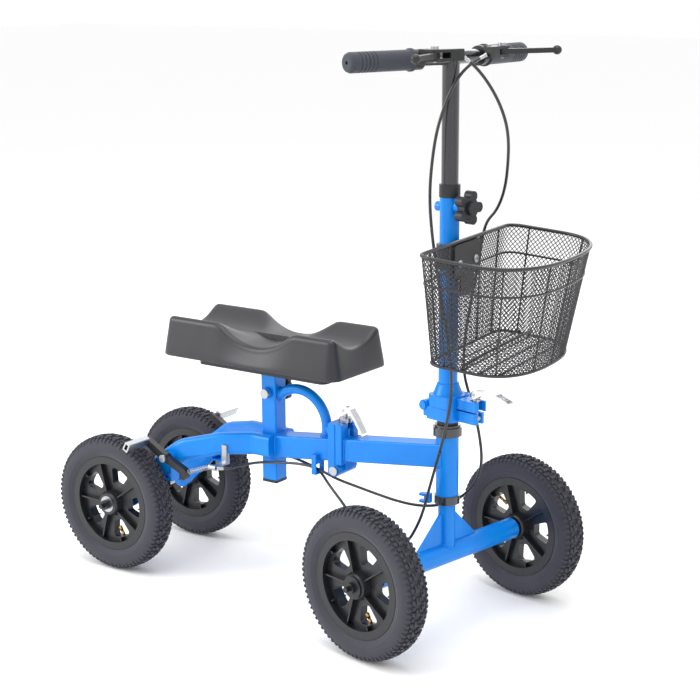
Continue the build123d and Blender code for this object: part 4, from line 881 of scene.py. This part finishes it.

# %% [markdown]
# ## Brake cables
# Each lever pulls a wire inside a black housing that runs down the column, round the headset, under the main
# tube and back to its stop on a rear arm. It is held at clips and stops, and is springy enough to make wide
# curves between them. One smooth NURBS follows the same points as the solid model. It crosses four joints, so
# the tube is cut into four spans. The cuts are where the cable belongs wholly to one part.

# %% Cable routes
CABLE_R = 2.5
LEAST_STEP = 1.0 * MM
RIGHT_UPPER = (
    (52, -28.6, 953.5), (62, -21, 945), (82, -11, 921), (100, -2, 889), (109, 7, 855), (107, 16, 824),
    (98, 26, 790), (83, 40, 757), (62, 56, 728), (37, 71, 703), (14, 82, 688), (1, 87.5, 674),
    (-7, 89.5, 652), (-12, 88, 614), (-16, 77, 559), (-14, 60, 503), (-8, 47, 457), (-1, 41.5, 428),
    (8, 41, 404), (20, 43.5, 370), (30, 44.5, 336), (37, 44, 303), (38, 43, 280), (32, 42, 256), (21, 39, 236),
)
RIGHT_LOWER = (
    (660, 31, 220), (643, 23, 208), (618, 8, 201), (590, -4, 200), (555, -10, 203), (518, -14, 209),
    (478, -17, 216), (440, -19, 222), (412, -21, 231), (390, -22, 237), (358, -22.5, 238), (322, -24, 234),
    (286, -28, 230), (263, -42, 227), (250, -62, 224), (240, -80, 222.3), (223.3, -87.2, 222),
)
LEFT_UPPER = (
    (48.5, 28.8, 955), (42, 21, 950), (33, 9, 941), (23, -4, 925), (13, -16, 899), (4, -24.5, 866),
    (-4, -29, 833), (-9, -32, 794), (-12, -34, 752), (-11, -35, 717), (-7, -35.5, 684), (-1, -36, 650),
    (9, -36.5, 603), (21, -36, 549), (31, -34, 497), (36, -32, 452), (35.5, -31.5, 415), (31, -32.5, 382),
    (24, -33.5, 350), (14, -34, 314), (1, -34, 276), (-10, -33.5, 244), (-17, -35, 216), (-25, -38.5, 189),
    (-34, -42, 168),
)
LEFT_LOWER = (
    (598, -39, 149), (578, -42, 137), (549, -45, 132), (519, -47, 142), (493, -47, 164), (468, -44, 190),
    (443, -39, 208), (423, -30, 218), (407, -20, 225), (390, -12, 232), (360, -5, 235), (328, 8, 234),
    (303, 21, 231), (280, 30, 229), (262, 44, 227), (250, 62, 224), (240, 80, 222.3), (223.3, 87.2, 222),
)


def smooth_route(name, upper, lower):
    """Evenly drawn points of a smooth curve that follows a cable's route points."""
    spots = [place(FORK, *spot) for spot in upper] + [place(FRAME, *spot) for spot in lower]
    curve = bpy.data.curves.new(name, "CURVE")
    curve.dimensions = "3D"
    spline = curve.splines.new("NURBS")
    spline.points.add(len(spots) - 1)
    for point, spot in zip(spline.points, spots):
        point.co = (*spot, 1.0)
    spline.order_u = 3
    spline.use_endpoint_u = True
    spline.resolution_u = 10
    holder = bpy.data.objects.new(name, curve)
    scene.collection.objects.link(holder)
    bpy.context.view_layer.update()
    drawn = bpy.data.meshes.new_from_object(holder.evaluated_get(bpy.context.evaluated_depsgraph_get()))
    line = np.array([tuple(vertex.co) for vertex in drawn.vertices])
    bpy.data.objects.remove(holder)
    bpy.data.meshes.remove(drawn)
    keep = [0]
    for index in range(1, len(line)):
        if np.linalg.norm(line[index] - line[keep[-1]]) > LEAST_STEP:
            keep.append(index)
    return line[keep]


routes = {
    "right": smooth_route("right_route", RIGHT_UPPER, RIGHT_LOWER),
    "left": smooth_route("left_route", LEFT_UPPER, LEFT_LOWER),
}
for side, line in routes.items():
    length = np.linalg.norm(np.diff(line, axis=0), axis=1).sum()
    print(side, "cable", len(line), "points", round(float(length), 3), "m")

# %% Cable spans
CABLE_SPANS = {
    "right": (
        ("handlebar", "column", (FORK, 52, -28.6, 953), (FORK, 1, 87.5, 700), (FORK, -7, 89.5, 652)),
        ("column", "fork", (FORK, -8, 47, 457), (FORK, 30, 44.5, 336), (FORK, 37, 44, 318)),
        ("fork", "front_frame", (FORK, 38, 43, 300), (FRAME, 590, -4, 200), (FRAME, 555, -10, 203)),
        ("front_frame", "rear_frame", (FRAME, 478, -17, 216), (FRAME, 405, -21, 233), None),
    ),
    "left": (
        ("handlebar", "column", (FORK, 48.5, 28.8, 953), (FORK, -12, -34, 717), (FORK, -7, -35.5, 684)),
        ("column", "fork", (FORK, 36, -32, 457), (FORK, 24, -33.5, 336), (FORK, 14, -34, 314)),
        ("fork", "front_frame", (FORK, 6, -34, 290), (FRAME, 549, -45, 132), (FRAME, 530, -46, 137)),
        ("front_frame", "rear_frame", (FRAME, 493, -47, 164), (FRAME, 410, -22, 224), None),
    ),
}
CABLE_SIDES = 14


def cut_near(line, spot):
    """Number of the line's point nearest a spot."""
    return int(np.argmin(np.linalg.norm(line - np.array(tuple(spot)), axis=1)))


for side, spans in CABLE_SPANS.items():
    line = routes[side]
    points, _ = tube_mesh(line, CABLE_R * MM, CABLE_SIDES)
    rings = points.reshape(len(line), CABLE_SIDES, 3)
    start = 0
    for number, (first_body, second_body, bend_from, bend_to, cut_at) in enumerate(spans):
        end = len(line) - 1 if cut_at is None else cut_near(line, place(*cut_at))
        span_points = rings[start : end + 1].reshape(-1, 3)
        count = end - start + 1
        faces = band_faces(count, CABLE_SIDES) + end_faces(count, CABLE_SIDES)
        span = make_piece(f"brake_cable_{side}_{number}", span_points, faces, extruded_pvc)
        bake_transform(span)
        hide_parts(f"brake_cable_{side}")
        start = end
    print(side, "cable in", len(spans), "spans")

# %% [markdown]
# ## Ferrules
# Where a housing meets a lever bracket or a stop, a crimped ferrule spreads its load. It is a short turned
# sleeve on the cable's own line.

# %% Ferrules
FERRULE_LEN = 12.0
FERRULE_SIDES = 20
FERRULE_RADII = (3.5, 3.5, 3.5, 3.1, 3.1, 2.8, 3.1, 3.1, 2.8, 3.1, 3.1, 2.6)


def arc_marks(line):
    """Distance along a line at each of its points."""
    return np.concatenate([[0], np.cumsum(np.linalg.norm(np.diff(line, axis=0), axis=1))])


def ferrule_on(line, name, body):
    """Turned sleeve round the start of a line; its radii are spread evenly along it."""
    wanted = np.linspace(0, FERRULE_LEN * MM, len(FERRULE_RADII))
    path = np.stack([np.interp(wanted, arc_marks(line), line[:, axis]) for axis in range(3)], axis=1)
    points, faces = tube_mesh(path, np.array(FERRULE_RADII) * MM, FERRULE_SIDES)
    ferrule = make_piece(name, points, faces, zinc_plated_steel)
    ferrule.data.set_sharp_from_angle(angle=HARD_CREASE)
    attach(ferrule, body)


for side, line in routes.items():
    ferrule_on(line, f"lever_ferrule_{side}", "handlebar")
    ferrule_on(line[::-1], f"stop_ferrule_{side}", "rear_frame")
print("ferrules 4")

# %% [markdown]
# ## Weld beads
# A hand-welded joint shows a row of small overlapping scallops. A closed line is drawn where two tubes meet,
# and a tube with a waving radius is carried along it, then it takes the same powder coat as the frame.

# %% Weld lines
BEAD = 1.9
SCALLOP = 3.4
MAIN_Z, MAIN_REF = 258.7, 300.0
TUBE_HALF, TUBE_TALL, TUBE_CORNER = 20.0, 20.1, 3
MAIN_SLOPE = math.radians(6.83)


def main_height(x):
    """Height of the main tube's centre line at a distance ahead of the rear axle."""
    return MAIN_Z + (x - MAIN_REF) * math.tan(MAIN_SLOPE)


def square_loop(x, centre_z):
    """Rounded outline of the main tube in an upright plane across the frame."""
    loop = []
    for number, (beside, above) in enumerate(((1, 1), (-1, 1), (-1, -1), (1, -1))):
        cy, cz = beside * (TUBE_HALF - TUBE_CORNER), above * (TUBE_TALL - TUBE_CORNER)
        for step in range(5):
            turn = math.radians(90 * number + 22.5 * step)
            loop.append((x, cy + TUBE_CORNER * math.cos(turn), cz + centre_z + TUBE_CORNER * math.sin(turn)))
    return loop


def whole_turn(count):
    """Angles evenly round a circle."""
    return np.linspace(0, 2 * math.pi, count + 1)[:-1]


def weld(name, datum, loop, body, closed=True):
    """Scalloped bead along a line given in a datum."""
    line = np.array([tuple(place(datum, *spot)) for spot in loop])
    if closed:
        line = np.concatenate([line, line[:1]])
    marks = arc_marks(line)
    count = max(int(marks[-1] / (SCALLOP * MM / 4)), 12)
    wanted = np.linspace(0, marks[-1], count, endpoint=not closed)
    even = np.stack([np.interp(wanted, marks, line[:, axis]) for axis in range(3)], axis=1)
    wave = 1 + 0.16 * np.abs(np.sin(np.arange(count) * math.pi / 4)) - 0.08
    points, faces = tube_mesh(even, BEAD * MM * wave, 8, closed)
    piece = make_piece(name, points, faces, azure_powder_coat)
    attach(piece, body)


weld("weld_main_to_post", FRAME, square_loop(301.6, main_height(301)), "rear_frame")
weld("weld_main_to_hinge", FRAME, square_loop(420.4, main_height(421)), "rear_frame")
weld("weld_front_to_hinge", FRAME, square_loop(451.8, main_height(451)), "front_frame")

ARC_X, ARC_Z, ARC_R, BRACE_R = 341.0, 305.0, 61.0, 9.0
POST_FACE = 301.0
brace_top = ARC_Z + math.sqrt(ARC_R**2 - (ARC_X - POST_FACE) ** 2)
brace_loop = [
    (POST_FACE + 0.8, BRACE_R * math.sin(turn), brace_top + 12 * math.cos(turn)) for turn in whole_turn(31)
]
weld("weld_brace_to_post", FRAME, brace_loop, "rear_frame")
brace_foot = []
for turn in whole_turn(31):
    x = 400.3 + 9.4 * math.cos(turn)
    brace_foot.append((x, BRACE_R * math.sin(turn), main_height(x) + 20.4))
weld("weld_brace_to_main", FRAME, brace_foot, "rear_frame")

HEAD_TUBE_R = 19.0
for name, rise in (("top", 20.3), ("bottom", -20.3)):
    arc = []
    for turn in np.linspace(-1.25, 1.25, 17):
        x = WHEELBASE / MM - HEAD_TUBE_R * math.cos(turn)
        arc.append((x, HEAD_TUBE_R * math.sin(turn), main_height(x) + rise))
    weld(f"weld_head_{name}", FRAME, arc, "front_frame", closed=False)

SADDLE_R, CROSS_R = 15.0, 18.5
saddle = []
for turn in whole_turn(39):
    x = SADDLE_R * math.cos(turn)
    saddle.append((x, SADDLE_R * math.sin(turn), AXLE_Z + math.sqrt(CROSS_R**2 - x * x) + 0.3))
weld("weld_fork_saddle", FORK, saddle, "fork")
CONE_R, CONE_Z = 17.0, 421.4
cone = [(CONE_R * math.cos(turn), CONE_R * math.sin(turn), CONE_Z) for turn in whole_turn(39)]
weld("weld_column_cone", FORK, cone, "column")
for side in (-1, 1):
    for x, name in ((300.8, "front"), (269.2, "back")):
        seam = [(x, side * 16.4, z) for z in np.linspace(243, 279, 10)]
        weld(f"weld_arm_{name}_{'left' if side > 0 else 'right'}", FRAME, seam, "rear_frame", closed=False)
print("welds 13")

# %% [markdown]
# ## Floor, light and camera
# The scooter stands on white paper under big soft lamps, as a product does in a studio. The paper is almost
# white, so the floor fades into the backdrop, and the lamps are large and close, which keeps the shadows
# faint and the highlights wide. The camera is a long way off with a long lens, so the near and far wheels
# differ little in size.

# %% Floor
studio_paper, tree, shader, coordinates = new_finish("studio_paper", Roughness=0.9, Specular_IOR_Level=0.1)
colour_by(tree, shader, noise(tree, coordinates, 3, 3.0), "#fbfbfb", "#fefefe")
FLOOR_SIDE = 40.0
half = FLOOR_SIDE / 2
floor_corners = [(-half, -half, 0), (half, -half, 0), (half, half, 0), (-half, half, 0)]
paper_floor = make_piece("paper_floor", floor_corners, [(0, 1, 2, 3)], studio_paper, smooth=False)
print("floor side", FLOOR_SIDE)

# %% Lamps
world = bpy.data.worlds.new("white_room")
world.use_nodes = True
backdrop = world.node_tree.nodes["Background"]
backdrop.inputs["Color"].default_value = (1.0, 1.0, 1.0, 1.0)
backdrop.inputs["Strength"].default_value = 1.0
scene.world = world
LAMPS = (  # name, place, aim, side in metres, power in watts
    ("overhead_box", (0.2, -0.3, 2.9), (0.0, 0.0, 0.3), 2.4, 40.0),
    ("left_box", (-2.4, -2.2, 1.9), (0.0, 0.0, 0.4), 1.8, 60.0),
    ("right_box", (2.8, -1.2, 1.6), (0.1, 0.0, 0.4), 1.4, 5.0),
    ("back_box", (-0.6, 2.8, 2.0), (0.0, 0.0, 0.5), 1.8, 20.0),
)
for name, spot, aim, size, power in LAMPS:
    lamp = bpy.data.lights.new(name, "AREA")
    lamp.shape = "SQUARE"
    lamp.size = size
    lamp.energy = power
    holder = bpy.data.objects.new(name, lamp)
    holder.location = spot
    holder.rotation_euler = (Vector(aim) - Vector(spot)).to_track_quat("-Z", "Y").to_euler()
    scene.collection.objects.link(holder)
scene.view_settings.view_transform = "Standard"
print("lamps", len(LAMPS))

# %% Camera
CAMERA_SPOT = Vector((1.64588, -2.2255, 1.0988))
CAMERA_YAW = math.radians(35.12)
CAMERA_PITCH = math.radians(13.38)
CAMERA_ROLL = math.radians(-0.27)
back = Vector(
    (
        math.sin(CAMERA_YAW) * math.cos(CAMERA_PITCH),
        -math.cos(CAMERA_YAW) * math.cos(CAMERA_PITCH),
        math.sin(CAMERA_PITCH),
    )
)
right = Vector((math.cos(CAMERA_YAW), math.sin(CAMERA_YAW), 0))
turned_view = Matrix((right, back.cross(right), back)).transposed() @ Matrix.Rotation(CAMERA_ROLL, 3, "Z")
lens = bpy.data.cameras.new("studio_camera")
lens.lens = 84.17
lens.sensor_width = 36.0
lens.clip_end = 60.0
camera = bpy.data.objects.new("studio_camera", lens)
camera.matrix_world = Matrix.Translation(CAMERA_SPOT) @ turned_view.to_4x4()
scene.collection.objects.link(camera)
scene.camera = camera
print("camera at", [round(value, 3) for value in CAMERA_SPOT])
